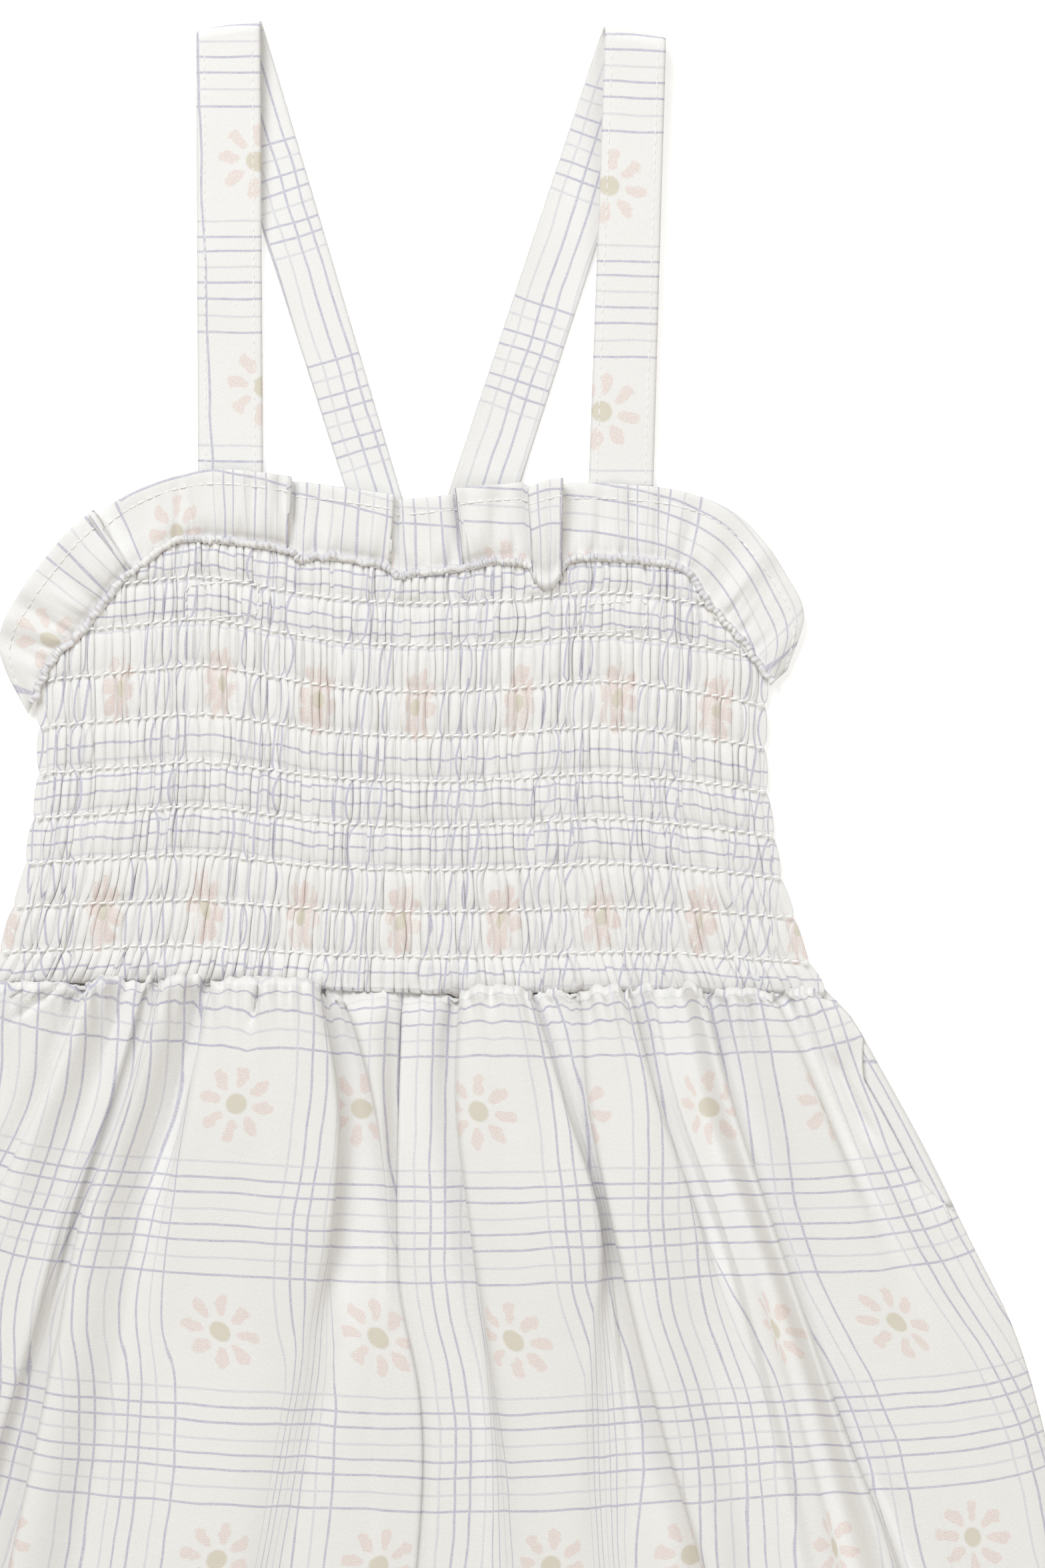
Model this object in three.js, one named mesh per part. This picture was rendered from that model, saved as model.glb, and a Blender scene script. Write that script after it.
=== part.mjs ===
// A baby jumpsuit laid flat on its back, front side up: a smocked bodice with a ruffle along its top,
// two shoulder straps folded over at the shoulder, and wide gathered trouser legs with one side pocket.
// Millimetres. X runs to the garment's left-hand side in wear (right in the picture), Y from the waist
// seam towards the neck, and Z up from the surface that it lies on.
import * as THREE from "three";

// Cloth and seams
const CLOTH = 1.2; // wall of one panel
const SEAM = 0.3; // gap between two pieces that are sewn together
const BACK_TOP = CLOTH; // the back panels lie from the surface up to here
const FRONT_UNDER = BACK_TOP + SEAM; // lowest side of every front piece
const FRONT_SEAM_Z = FRONT_UNDER + CLOTH / 2; // middle of a front wall where it meets a seam

// Bodice
const RIBS = 88; // smocked ribs across the front
const RIB_HEIGHT = 1.15; // of a rib over the cloth beside it
const BODICE_WALL = 1.3; // cloth at a shirring line, over the plain inside
const TOP_CORD = 2.3; // the corded edge where the ruffle is sewn on
const TOP_GAP = 1; // between that edge and the ruffle
const BACK_NECK = 119; // top edge of the back bodice over the waist seam

// Legs
const CROTCH = -215;
const HEM = -455;
const LEG_PUFF = 3.4; // middle of the front wall where it lies lowest between two folds
const FOLD_HEIGHT = 5.4; // the tallest fold over that
const FOLD_REACH = 12; // hidden cloth that gives a fold two thirds of that height
const WAIST_RAMP = 10; // length over which the gathers rise from the waist seam
const SEAM_RAMP = 7; // width over which the wall comes down to a side seam

// Straps
const STRAP_BACK_Z = CLOTH / 2;

const lerp = THREE.MathUtils.lerp;
const smooth = (t) => THREE.MathUtils.smoothstep(t, 0, 1);

// Half of the bodice's width, from the waist seam up to the underarm.
const BODICE_SIDE = [
  { y: 0, half: 116.8 },
  { y: 10, half: 111.5 },
  { y: 20, half: 108.5 },
  { y: 30, half: 105.2 },
  { y: 42, half: 103 },
  { y: 56, half: 101 },
  { y: 72, half: 100.6 },
  { y: 90, half: 101.2 },
];

// Half of the trousers' width, from the waist seam down to the hem.
const LEG_SIDE = [
  { y: 0, half: 116.8 },
  { y: -8, half: 124.6 },
  { y: -20, half: 131.7 },
  { y: -46, half: 146 },
  { y: -70, half: 157.8 },
  { y: -96, half: 170.4 },
  { y: -124, half: 178.7 },
  { y: -160, half: 185.6 },
  { y: CROTCH, half: 188 },
  { y: -300, half: 184 },
  { y: HEM, half: 172 },
];

// The inner edge of the legs: it wanders a little along the centre seam, then opens below the crotch.
const LEG_INSIDE = [
  { y: 0, x: 0 },
  { y: -80, x: -1 },
  { y: -112, x: 4.8 },
  { y: -132, x: 6 },
  { y: -160, x: 4.4 },
  { y: -195, x: 0.6 },
  { y: CROTCH, x: 0 },
];
const INSEAM = [
  { y: CROTCH, x: 0 },
  { y: -224, x: 4.5 },
  { y: -240, x: 8.5 },
  { y: -320, x: 17 },
  { y: HEM, x: 25 },
];

// The shirring lines of the bodice: height over the waist seam at the centre, and the share of the
// sideways wave that the line follows.
const SHIRRING = [
  { name: "first", y: 106.6, wave: 1 },
  { name: "second", y: 94.9, wave: 1 },
  { name: "third", y: 82, wave: 1 },
  { name: "fourth", y: 69.7, wave: 0.85 },
  { name: "fifth", y: 57.1, wave: 0.75 },
  { name: "sixth", y: 44.6, wave: 0.75 },
  { name: "seventh", y: 32.5, wave: 0.6 },
  { name: "eighth", y: 20.9, wave: 0.45 },
  { name: "ninth", y: 8.4, wave: 0.45 },
];
const PLAIN_LINES = [0, 3, 5, 7, SHIRRING.length + 1]; // lines that the plain underside follows
const ROW_WAVE = [
  { x: -105, lift: 2.6 },
  { x: -75, lift: 5.6 },
  { x: -55, lift: 7.3 },
  { x: -35, lift: 4 },
  { x: -18, lift: 1.3 },
  { x: 5, lift: 0 },
  { x: 30, lift: 0.9 },
  { x: 55, lift: 3 },
  { x: 78, lift: 0.6 },
  { x: 105, lift: -4.6 },
];

// The ruffle: where it is sewn to the bodice's top edge, where its own hem lies, and the hem's height.
const RUFFLE = [
  { seamX: -101.9, seamY: 76, hemX: -105, hemY: 78, z: 2.4 },
  { seamX: -101.8, seamY: 84, hemX: -110.6, hemY: 92, z: 2.6 },
  { seamX: -96, seamY: 91, hemX: -111.6, hemY: 100, z: 3 },
  { seamX: -87, seamY: 101.5, hemX: -100, hemY: 114.4, z: 3.6 },
  { seamX: -80, seamY: 110.5, hemX: -88.5, hemY: 129.2, z: 3.9 },
  { seamX: -70, seamY: 119.5, hemX: -72.8, hemY: 139.4, z: 4.2 },
  { seamX: -50, seamY: 124, hemX: -50, hemY: 143.8, z: 4.5 },
  { seamX: -32, seamY: 122, hemX: -30.2, hemY: 141, z: 4.3 },
  { seamX: -16, seamY: 118.2, hemX: -14.4, hemY: 139.4, z: 4.2 },
  { seamX: -2.5, seamY: 115.2, hemX: -2.3, hemY: 136.4, z: 4.1 },
  { seamX: 17, seamY: 117.6, hemX: 16.8, hemY: 138, z: 4.2 },
  { seamX: 45, seamY: 119, hemX: 45, hemY: 140, z: 4.3 },
  { seamX: 70, seamY: 118.5, hemX: 69.8, hemY: 139.4, z: 4.5 },
  { seamX: 82, seamY: 115, hemX: 89.3, hemY: 134.3, z: 4 },
  { seamX: 90, seamY: 102, hemX: 104, hemY: 119.5, z: 3.6 },
  { seamX: 98.5, seamY: 92.5, hemX: 112.2, hemY: 102.8, z: 3 },
  { seamX: 101.8, seamY: 85.5, hemX: 106.5, hemY: 88.4, z: 2.4 },
];

// Folds of the ruffle, by the x of their seam end. lap -1: the part before it lies on top.
// lap +1: the part after it does.
const RUFFLE_FOLDS = [
  { name: "left shoulder", x: -80.5, lap: -1, rise: 2.6 },
  { name: "left neck", x: -32.5, lap: -1, rise: 2.6 },
  { name: "centre pleat, left", x: -4.6, lap: -1, rise: 2.2 },
  { name: "centre pleat, right", x: -0.6, lap: 1, rise: 2.2 },
  { name: "right of centre", x: 16.4, lap: 1, rise: 2.4 },
  { name: "flap, left edge", x: 34.4, lap: 1, rise: 4 },
  { name: "flap, right edge", x: 44.6, lap: -1, rise: 4 },
  { name: "right shoulder", x: 80, lap: 1, rise: 1.6 },
];

// Levels below the waist seam at which the folds of the trousers are given.
const LEVELS = [0, -32, -64, -96, -128, -160, CROTCH, -300, HEM];

// Folds of the front trousers, from the centre seam outwards. place: distance from the garment's centre
// line at each level. hidden: cloth taken up in the fold there. lap -1: the part nearer the centre lies
// on top; +1: the part nearer the side does.
const FOLDS = {
  right: [
    {
      name: "inner valley",
      lap: 1,
      place: [16, 14.6, 17, 22.5, 27, 29.5, 38, 48, 60],
      hidden: [36, 29, 25, 22, 18, 14, 11, 7, 3],
    },
    {
      name: "inner fold, far edge",
      lap: -1,
      place: [36, 45, 54, 55, 54.5, 57, 66, 78, 88],
      hidden: [20, 18, 18, 17, 16, 14, 8, 3, 0],
    },
    {
      name: "middle fold, near edge",
      lap: 1,
      place: [49.3, 53, 60.5, 67, 75, 83, 96, 104, 108],
      hidden: [16, 18, 21, 23, 23, 22, 17, 11, 6],
    },
    {
      name: "middle fold, far edge",
      lap: -1,
      place: [63, 71.5, 81.5, 90, 98, 104, 112, 120, 124],
      hidden: [22, 22, 14, 2, 0, 0, 0, 0, 0],
    },
    {
      name: "soft step",
      lap: -1,
      place: [74, 80, 92, 103, 112.5, 121, 133, 138, 138],
      hidden: [2, 3, 7, 11, 10, 8, 6, 3, 1],
    },
    {
      name: "outer fold",
      lap: -1,
      place: [83.5, 91.8, 102.5, 113.5, 126, 137.5, 151, 155, 152],
      hidden: [28, 27, 26, 26, 24, 22, 16, 9, 4],
    },
    {
      name: "pocket fold",
      lap: -1,
      place: [103, 116.6, 129.5, 142, 152, 160, 168, 168, 162],
      hidden: [20, 15, 7, 1, 0, 0, 0, 0, 0],
    },
  ],
  left: [
    {
      name: "centre flap",
      lap: -1,
      place: [16.5, 9.4, 5.2, 4.5, 4.5, 4.8, 8, 16, 32],
      hidden: [14, 14, 9, 0, 0, 0, 0, 0, 0],
    },
    {
      name: "broad fold, near edge",
      lap: 1,
      place: [22.6, 17.5, 18.8, 22.5, 32.5, 38.5, 50, 62, 74],
      hidden: [28, 28, 24, 19, 18, 17, 13, 8, 4],
    },
    {
      name: "broad fold, far edge",
      lap: -1,
      place: [53, 60.3, 66, 70, 76, 82, 90, 98, 104],
      hidden: [14, 12, 6, 1, 0, 0, 0, 0, 0],
    },
    {
      name: "deep fold",
      lap: -1,
      place: [67.4, 74, 84, 96, 105.5, 113, 126, 132, 134],
      hidden: [44, 44, 44, 42, 38, 34, 24, 13, 6],
    },
    {
      name: "outer fold",
      lap: -1,
      place: [87.5, 103.5, 119, 131, 141, 149, 158, 160, 156],
      hidden: [26, 26, 20, 12, 9, 7, 5, 2, 0],
    },
  ],
};

// Rows of the leg wall, below the waist seam.
const LEG_ROWS = [0, -4, -10, -18, -27, -38, -50, -63, -80, -100, -120, -142, -168, -195];
LEG_ROWS.push(CROTCH, -245, -285, -335, -390, HEM);

// The pocket in the side seam of the right leg.
const POCKET = { top: -18, bottom: -63, gape: 4.6, mouthTop: -27, mouthBottom: -49, wall: 1 };
const POCKET_BAG = { depth: 34, bottom: -98, seamClear: 9 };

// The two straps: fold at the shoulder, and where the front and the back part end.
const STRAPS = [
  { side: "left", foldX: -48.2, foldY: 264.2, frontEndX: -47.6, backEndX: -3.6, radius: 2.6 },
  { side: "right", foldX: 64.8, foldY: 261.6, frontEndX: 60.2, backEndX: 18.2, radius: 3.4 },
];

// Width of each strap at the bodice's front, at the fold and at the bodice's back.
const STRAP_WIDTHS = {
  left: { front: 18.2, fold: 17.8, back: 14 },
  right: { front: 18.2, fold: 17, back: 18.4 },
};

// Value of a table's column at a place, with soft joins between its rows.
function follow(table, by, column, at) {
  const rows = table[0][by] < table.at(-1)[by] ? table : [...table].reverse();
  if (at <= rows[0][by]) return rows[0][column];
  const next = rows.findIndex((row) => row[by] >= at);
  if (next < 0) return rows.at(-1)[column];
  const slope = (i) => {
    const before = rows[Math.max(i - 1, 0)];
    const after = rows[Math.min(i + 1, rows.length - 1)];
    return (after[column] - before[column]) / (after[by] - before[by]);
  };
  const low = rows[next - 1];
  const high = rows[next];
  const span = high[by] - low[by];
  const t = (at - low[by]) / span;
  const t2 = t * t;
  const t3 = t2 * t;
  return (
    (2 * t3 - 3 * t2 + 1) * low[column] +
    (t3 - 2 * t2 + t) * slope(next - 1) * span +
    (3 * t2 - 2 * t3) * high[column] +
    (t3 - t2) * slope(next) * span
  );
}

// A fold's place or hidden cloth at a level.
function atLevel(values, y) {
  const table = LEVELS.map((level, i) => ({ level, value: values[i] }));
  return follow(table, "level", "value", y);
}

const legSide = (y) => follow(LEG_SIDE, "y", "half", y);
const bodiceSide = (y) => follow(BODICE_SIDE, "y", "half", y);
const bodiceTop = (x) => follow(RUFFLE, "seamX", "seamY", x) - TOP_GAP;
const rowLift = (x) => follow(ROW_WAVE, "x", "lift", x);
const insideLine = (y) => (y > CROTCH ? follow(LEG_INSIDE, "y", "x", y) : follow(INSEAM, "y", "x", y));

// A closed mesh from its corners and its triangles.
function solid(points, triangles) {
  const geometry = new THREE.BufferGeometry().setFromPoints(points);
  geometry.setIndex(triangles.flat());
  geometry.computeVertexNormals();
  return geometry;
}

// Normals of a grid of points, upright along the grid's edges so that seams stay square.
function gridNormals(grid) {
  const rows = grid.length;
  const columns = grid[0].length;
  return grid.map((line, r) =>
    line.map((p, c) => {
      if (c === 0 || c === columns - 1 || r === 0 || r === rows - 1) return new THREE.Vector3(0, 0, 1);
      const across = new THREE.Vector3().subVectors(line[c + 1], line[c - 1]);
      const up = new THREE.Vector3().subVectors(grid[r - 1][c], grid[r + 1][c]);
      return across.cross(up).normalize();
    }),
  );
}

// A wall of even thickness about a grid of points. Rows run from the top down and columns to the right.
function gridWall(grid, thickness, normals = gridNormals(grid)) {
  const columns = grid[0].length;
  const count = grid.length * columns;
  const moved = (p, normal, way) => p.clone().addScaledVector(normal, way * thickness * 0.5);
  const side = (way) => grid.flatMap((line, r) => line.map((p, c) => moved(p, normals[r][c], way)));
  const at = (r, c) => r * columns + c;
  const faces = [];
  const quad = (a, b, c, d) => faces.push([a, b, c], [a, c, d]);
  for (let r = 0; r < grid.length - 1; r++) {
    for (let c = 0; c < columns - 1; c++) {
      quad(at(r, c), at(r + 1, c), at(r + 1, c + 1), at(r, c + 1));
      quad(count + at(r, c), count + at(r, c + 1), count + at(r + 1, c + 1), count + at(r + 1, c));
    }
  }
  const rim = [];
  for (let c = 0; c < columns - 1; c++) rim.push(at(0, c));
  for (let r = 0; r < grid.length - 1; r++) rim.push(at(r, columns - 1));
  for (let c = columns - 1; c > 0; c--) rim.push(at(grid.length - 1, c));
  for (let r = grid.length - 1; r > 0; r--) rim.push(at(r, 0));
  rim.forEach((a, i) => {
    const b = rim[(i + 1) % rim.length];
    quad(a, b, count + b, count + a);
  });
  return solid([...side(1), ...side(-1)], faces);
}

// A flat panel of one cloth's thickness, from an outline.
function plate(outline, from, thickness) {
  const shape = new THREE.Shape(outline);
  const geometry = new THREE.ExtrudeGeometry(shape, { depth: thickness, bevelEnabled: false });
  return geometry.translate(0, 0, from);
}

// Small steady differences between one rib and the next.
const ribVariation = (i) => 0.5 + 0.28 * Math.sin(i * 2.3) + 0.22 * Math.sin(i * 5.1 + 1);

// Height of a shirring line. Line 0 is the top edge and the last is the waist.
function bodiceLine(line, x) {
  const top = bodiceTop(x);
  if (line === 0) return top;
  if (line > SHIRRING.length) return SEAM / 2 + 0.3 * rowLift(x) * smooth(1 - Math.abs(x) / 100);
  const row = SHIRRING[line - 1];
  const crowding = 1.4;
  return Math.min(row.y + row.wave * rowLift(x), top - crowding * line);
}

// The smocked front: ribs raised between the shirring lines, over a plain inside.
function bodiceFront() {
  const lines = SHIRRING.length + 1;
  const points = [];
  const faces = [];
  const place = (share, y, z) => {
    const x = share * bodiceSide(Math.min(y, 88));
    points.push(new THREE.Vector3(x, y, z));
    return points.length - 1;
  };
  const pinched = (line) => {
    const rowZ = FRONT_UNDER + (line === 0 ? TOP_CORD : BODICE_WALL);
    return Array.from({ length: RIBS + 1 }, (_, i) => {
      const share = -1 + (2 * i) / RIBS;
      return place(share, bodiceLine(line, share * 101), rowZ);
    });
  };
  const ribbed = (line) =>
    Array.from({ length: 2 * RIBS + 1 }, (_, i) => {
      const share = -1 + i / RIBS;
      const x = share * 101;
      const y = (bodiceLine(line, x) + bodiceLine(line + 1, x)) / 2;
      const edge = smooth((1 - Math.abs(share)) * 14);
      const rib = i % 2 ? RIB_HEIGHT * (0.6 + 0.8 * ribVariation(i)) * edge : 0.1;
      return place(share, y, FRONT_UNDER + BODICE_WALL + rib);
    });
  const rows = [];
  for (let line = 0; line < lines; line++) rows.push(pinched(line), ribbed(line));
  rows.push(pinched(lines));
  for (let r = 0; r < rows.length - 1; r++) {
    const down = r % 2 === 0;
    const few = down ? rows[r] : rows[r + 1];
    const many = down ? rows[r + 1] : rows[r];
    for (let i = 0; i < RIBS; i++) {
      const fan = [
        [few[i], many[2 * i + 1], few[i + 1]],
        [few[i], many[2 * i], many[2 * i + 1]],
        [few[i + 1], many[2 * i + 1], many[2 * i + 2]],
      ];
      faces.push(...(down ? fan : fan.map(([a, b, c]) => [a, c, b])));
    }
  }
  const rim = [...rows[0], ...rows.slice(1, -1).map((row) => row.at(-1)), ...rows.at(-1).toReversed()];
  rim.push(...rows.slice(1, -1).map((row) => row[0]).toReversed());
  const below = new Map();
  const under = (i) => {
    if (!below.has(i)) below.set(i, points.push(points[i].clone().setZ(FRONT_UNDER)) - 1);
    return below.get(i);
  };
  rim.forEach((a, i) => {
    const b = rim[(i + 1) % rim.length];
    faces.push([a, b, under(b)], [a, under(b), under(a)]);
  });
  for (let k = 0; k < PLAIN_LINES.length - 1; k++) {
    const band = rows.slice(2 * PLAIN_LINES[k], 2 * PLAIN_LINES[k + 1] + 1);
    faces.push(...plainBand(band).map((face) => face.map(under)));
  }
  return solid(points, faces);
}

// The plain underside between two shirring lines, joined to every point of its two side edges.
function plainBand(band) {
  const upper = band[0];
  const lower = band.at(-1);
  const faces = [];
  for (let i = 1; i < RIBS - 1; i++) {
    faces.push([upper[i], upper[i + 1], lower[i]], [upper[i + 1], lower[i + 1], lower[i]]);
  }
  for (let r = 0; r < band.length - 1; r++) {
    faces.push([upper[1], band[r + 1][0], band[r][0]]);
    faces.push([upper[RIBS - 1], band[r].at(-1), band[r + 1].at(-1)]);
  }
  faces.push([upper[1], lower[1], lower[0]]);
  faces.push([upper[RIBS - 1], lower[RIBS], lower[RIBS - 1]]);
  return faces;
}

// The back bodice lies flat under the front.
function bodiceBack() {
  const rises = [SEAM / 2, 8, 18, 30, 44, 60, 78];
  const right = rises.map((y) => new THREE.Vector2(bodiceSide(y), y));
  const shoulder = [
    [100, 84],
    [93.5, 91.5],
    [84.5, 101.5],
    [77, 110.5],
    [68, BACK_NECK - 2.5],
    [60, BACK_NECK],
  ];
  right.push(...shoulder.map(([x, y]) => new THREE.Vector2(x, y)));
  const left = right.map((p) => new THREE.Vector2(-p.x, p.y)).reverse();
  return plate([...right, ...left], 0, CLOTH);
}

// Points across the ruffle's folds: shares between one fold and the next, and the drop beside each fold.
function ruffleStations() {
  const stations = [{ x: RUFFLE[0].seamX, rise: 0 }];
  const first = RUFFLE[1].seamX;
  const last = RUFFLE.at(-1).seamX;
  const half = 0.7;
  const stepLength = 4;
  const stops = [first, ...RUFFLE_FOLDS.map((fold) => fold.x), last];
  for (let i = 0; i < stops.length - 1; i++) {
    const from = stops[i] + (i ? half : 0);
    const to = stops[i + 1] - (i < stops.length - 2 ? half : 0);
    const before = i ? RUFFLE_FOLDS[i - 1] : null;
    const after = RUFFLE_FOLDS[i] ?? null;
    const startRise = before?.lap > 0 ? before.rise : 0;
    const endRise = after?.lap < 0 ? after.rise : 0;
    const rise = follow(RUFFLE, "seamX", "seamY", to) - follow(RUFFLE, "seamX", "seamY", from);
    const pieces = Math.max(2, Math.round(Math.hypot(to - from, rise) / stepLength));
    for (let s = 0; s <= pieces; s++) {
      const t = s / pieces;
      const crown = 0.9 * Math.sin(Math.PI * t);
      stations.push({ x: lerp(from, to, t), rise: lerp(startRise, endRise, smooth(t)) + crown });
    }
  }
  return stations;
}

// The ruffle: sewn to the top edge, its folds rising towards its own hem.
function ruffle() {
  const stations = ruffleStations();
  const seamZ = FRONT_UNDER + TOP_CORD - CLOTH / 2 + 0.5;
  const shares = [1, 0.62, 0.28, 0];
  const grid = shares.map((share) =>
    stations.map(({ x, rise }) => {
      const y = follow(RUFFLE, "seamX", "seamY", x);
      const hemX = follow(RUFFLE, "seamX", "hemX", x);
      const hemY = follow(RUFFLE, "seamX", "hemY", x);
      const hemZ = follow(RUFFLE, "seamX", "z", x);
      const lift = rise * smooth(share * 1.4);
      return new THREE.Vector3(lerp(x, hemX, share), lerp(y, hemY, share), lerp(seamZ, hemZ, share) + lift);
    }),
  );
  return gridWall(grid, CLOTH - 0.2);
}

// Height that a fold gets from the cloth that it hides.
const foldHeight = (hidden) => FOLD_HEIGHT * (1 - Math.exp(-hidden / FOLD_REACH));

// The places across one level of a leg, a few over each stretch between one fold and the next.
function legAcross(folds, inner, outer, y, pocketGape) {
  const half = 1.5;
  const sideDown = FRONT_SEAM_Z + pocketGape * 0.4;
  const edges = folds.map((fold) => {
    const hidden = atLevel(fold.hidden, y);
    const rise = foldHeight(Math.max(hidden, 0));
    return { x: atLevel(fold.place, y), lap: fold.lap, rise };
  });
  const across = [];
  const stops = [null, ...edges, null];
  for (let i = 0; i < stops.length - 1; i++) {
    const before = stops[i];
    const after = stops[i + 1];
    const from = before ? before.x + half : inner;
    const to = after ? after.x - half : outer;
    const startRise = before?.lap > 0 ? before.rise : 0;
    const endRise = after?.lap < 0 ? after.rise : 0;
    const steps = before && after ? 3 : 4;
    for (let s = 0; s <= steps; s++) {
      const t = s / steps;
      const x = lerp(from, to, t);
      const crown = Math.min(1.4, Math.abs(to - from) * 0.06) * Math.sin(Math.PI * t);
      const toSeam = Math.min((x - inner) / SEAM_RAMP, 1);
      const toSide = Math.min((outer - x) / SEAM_RAMP, 1);
      const full = LEG_PUFF + lerp(startRise, endRise, smooth(t)) + crown;
      const ramp = smooth(Math.min(toSeam, 1));
      const z = lerp(lerp(sideDown, full, smooth(toSide)), full, toSide >= 1 ? 1 : 0);
      across.push({ x, z: lerp(FRONT_SEAM_Z + 0.6, z, ramp) });
    }
  }
  return across;
}

// How far the front edge of the pocket stands in from the side seam.
function pocketGape(y) {
  const share = (y - POCKET.top) / (POCKET.bottom - POCKET.top);
  return share <= 0 || share >= 1 ? 0 : POCKET.gape * Math.min(1, Math.sin(Math.PI * share) * 1.5);
}

// The front of one leg, with its gathers and folds.
function legFront(side) {
  const way = side === "right" ? 1 : -1;
  const grid = LEG_ROWS.map((level) => {
    const y = level === 0 ? -SEAM / 2 : level;
    const gape = side === "right" ? pocketGape(y) : 0;
    const seamLine = y > CROTCH ? way * insideLine(y) : insideLine(y);
    const inner = seamLine + SEAM / 2;
    const outer = legSide(y) - gape;
    const ramp = lerp(0.12, 1, smooth(-level / WAIST_RAMP));
    return legAcross(FOLDS[side], inner, outer, y, gape).map(({ x, z }) => {
      return new THREE.Vector3(way * x, y, lerp(FRONT_SEAM_Z, z, ramp));
    });
  });
  const ordered = way > 0 ? grid : grid.map((line) => line.toReversed());
  return gridWall(ordered, CLOTH);
}

// The back of one leg lies flat on the surface.
function legBack(side) {
  const way = side === "right" ? 1 : -1;
  const rows = [-SEAM / 2, -8, -20, -34, -50, -70, -96, -124, -160, CROTCH, -260, -330, -390, HEM];
  const outside = rows.map((y) => new THREE.Vector2(way * legSide(y), y));
  const insideRows = [HEM, -390, -320, -260, -240, -224, -216, -195, -160, -132, -112, -96, -80, -40];
  insideRows.push(-SEAM / 2);
  const inside = insideRows.map((y) => {
    const seamLine = y > CROTCH ? way * insideLine(y) : insideLine(y);
    return new THREE.Vector2(way * (seamLine + SEAM / 2), y);
  });
  const outline = [...outside, ...inside];
  return plate(way > 0 ? outline.reverse() : outline, 0, CLOTH);
}

// The pocket bag lies between the front and the back of the right leg and shows in the gaping side seam.
function pocketBag() {
  const outside = [];
  const steps = 6;
  for (let i = 0; i <= steps; i++) {
    const y = lerp(POCKET.mouthTop, POCKET.mouthBottom, i / steps);
    outside.push(new THREE.Vector2(legSide(y), y));
  }
  const { depth, bottom, seamClear } = POCKET_BAG;
  const lowSide = legSide(POCKET.bottom) - seamClear;
  const topSide = legSide(POCKET.top) - seamClear;
  const bag = [
    [lowSide, POCKET.bottom],
    [lowSide - 1, bottom + 12],
    [lowSide - 10, bottom],
    [lowSide - depth + 6, bottom + 2],
    [lowSide - depth, bottom + 14],
    [topSide - depth * 0.6, POCKET.top - 14],
    [topSide - 4, POCKET.top - 2],
    [topSide, POCKET.top - 5],
  ];
  const outline = [...outside, ...bag.map(([x, y]) => new THREE.Vector2(x, y))];
  return plate(outline.reverse(), FRONT_UNDER, POCKET.wall);
}

// A strap: one flat band that runs up from the back, bends over a slanted fold and comes down to the front.
function strap({ side, foldX, foldY, frontEndX, backEndX, radius }) {
  const fold = new THREE.Vector2(foldX, foldY);
  const frontEnd = new THREE.Vector2(frontEndX, bodiceTop(frontEndX) + 2 * SEAM);
  const backEnd = new THREE.Vector2(backEndX, BACK_NECK + SEAM);
  const down = frontEnd.clone().sub(fold);
  const frontLength = down.length();
  down.normalize();
  const back = backEnd.clone().sub(fold).normalize();
  const crease = back.clone().sub(down);
  crease.multiplyScalar(Math.sign(crease.x)).normalize();
  const over = new THREE.Vector2(-crease.y, crease.x);
  const right = new THREE.Vector2(-down.y, down.x);
  const frontZ = STRAP_BACK_Z + 2 * radius;
  const bend = Math.PI * radius;
  const stops = [];
  const frontSteps = 5;
  const bendSteps = 14;
  const backSteps = 4;
  const width = STRAP_WIDTHS[side];
  const margin = width.fold * 0.1;
  const wrap = (along, across) => {
    const flat = fold.clone().addScaledVector(down, -along).addScaledVector(right, across);
    const beyond = flat.clone().sub(fold).dot(over);
    const share = THREE.MathUtils.clamp(-beyond / frontLength, 0, 1);
    if (beyond <= 0) return new THREE.Vector3(flat.x, flat.y, lerp(frontZ, FRONT_SEAM_Z, share));
    const line = flat.clone().addScaledVector(over, -beyond);
    const turn = beyond / radius;
    const reach = beyond < bend ? radius * Math.sin(turn) : bend - beyond;
    const z = beyond < bend ? frontZ - radius + radius * Math.cos(turn) : STRAP_BACK_Z;
    line.addScaledVector(over, reach);
    return new THREE.Vector3(line.x, line.y, z);
  };
  const bendEnd = bend + margin;
  const lengthAt = (across) => {
    const start = wrap(bendEnd, across).y;
    return bendEnd + (start - backEnd.y) / (start - wrap(bendEnd + 1, across).y);
  };
  for (let i = 0; i < frontSteps; i++) stops.push(() => lerp(-frontLength, -margin, i / frontSteps));
  for (let i = 0; i < bendSteps; i++) stops.push(() => lerp(-margin, bendEnd, i / bendSteps));
  for (let i = 0; i <= backSteps; i++) {
    stops.push((across) => lerp(bendEnd, lengthAt(across), i / backSteps));
  }
  const backLength = backEnd.distanceTo(fold) + bend;
  const widthAt = (along) => {
    if (along < 0) return lerp(width.fold, width.front, -along / frontLength);
    return lerp(width.fold, width.back, along / backLength);
  };
  const rows = stops.map((along) =>
    [-0.5, 0, 0.5].map((share) => {
      const across = share * widthAt(along(0));
      return wrap(along(across), across);
    }),
  );
  const normals = rows.map((line, r) => {
    const before = rows[Math.max(r - 1, 0)];
    const after = rows[Math.min(r + 1, rows.length - 1)];
    return line.map((p, c) => {
      const alongWay = new THREE.Vector3().subVectors(after[c], before[c]);
      const acrossWay = new THREE.Vector3().subVectors(line[2], line[0]);
      return acrossWay.cross(alongWay).normalize();
    });
  });
  return gridWall(rows.toReversed(), CLOTH, normals.toReversed());
}

// Cream cotton for every piece.
const COTTON = 0xe9e7e1;
function piece(name, geometry, colour = COTTON) {
  const material = new THREE.MeshStandardMaterial({ color: colour, roughness: 0.9, metalness: 0 });
  const mesh = new THREE.Mesh(geometry, material);
  mesh.name = name;
  return mesh;
}

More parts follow.
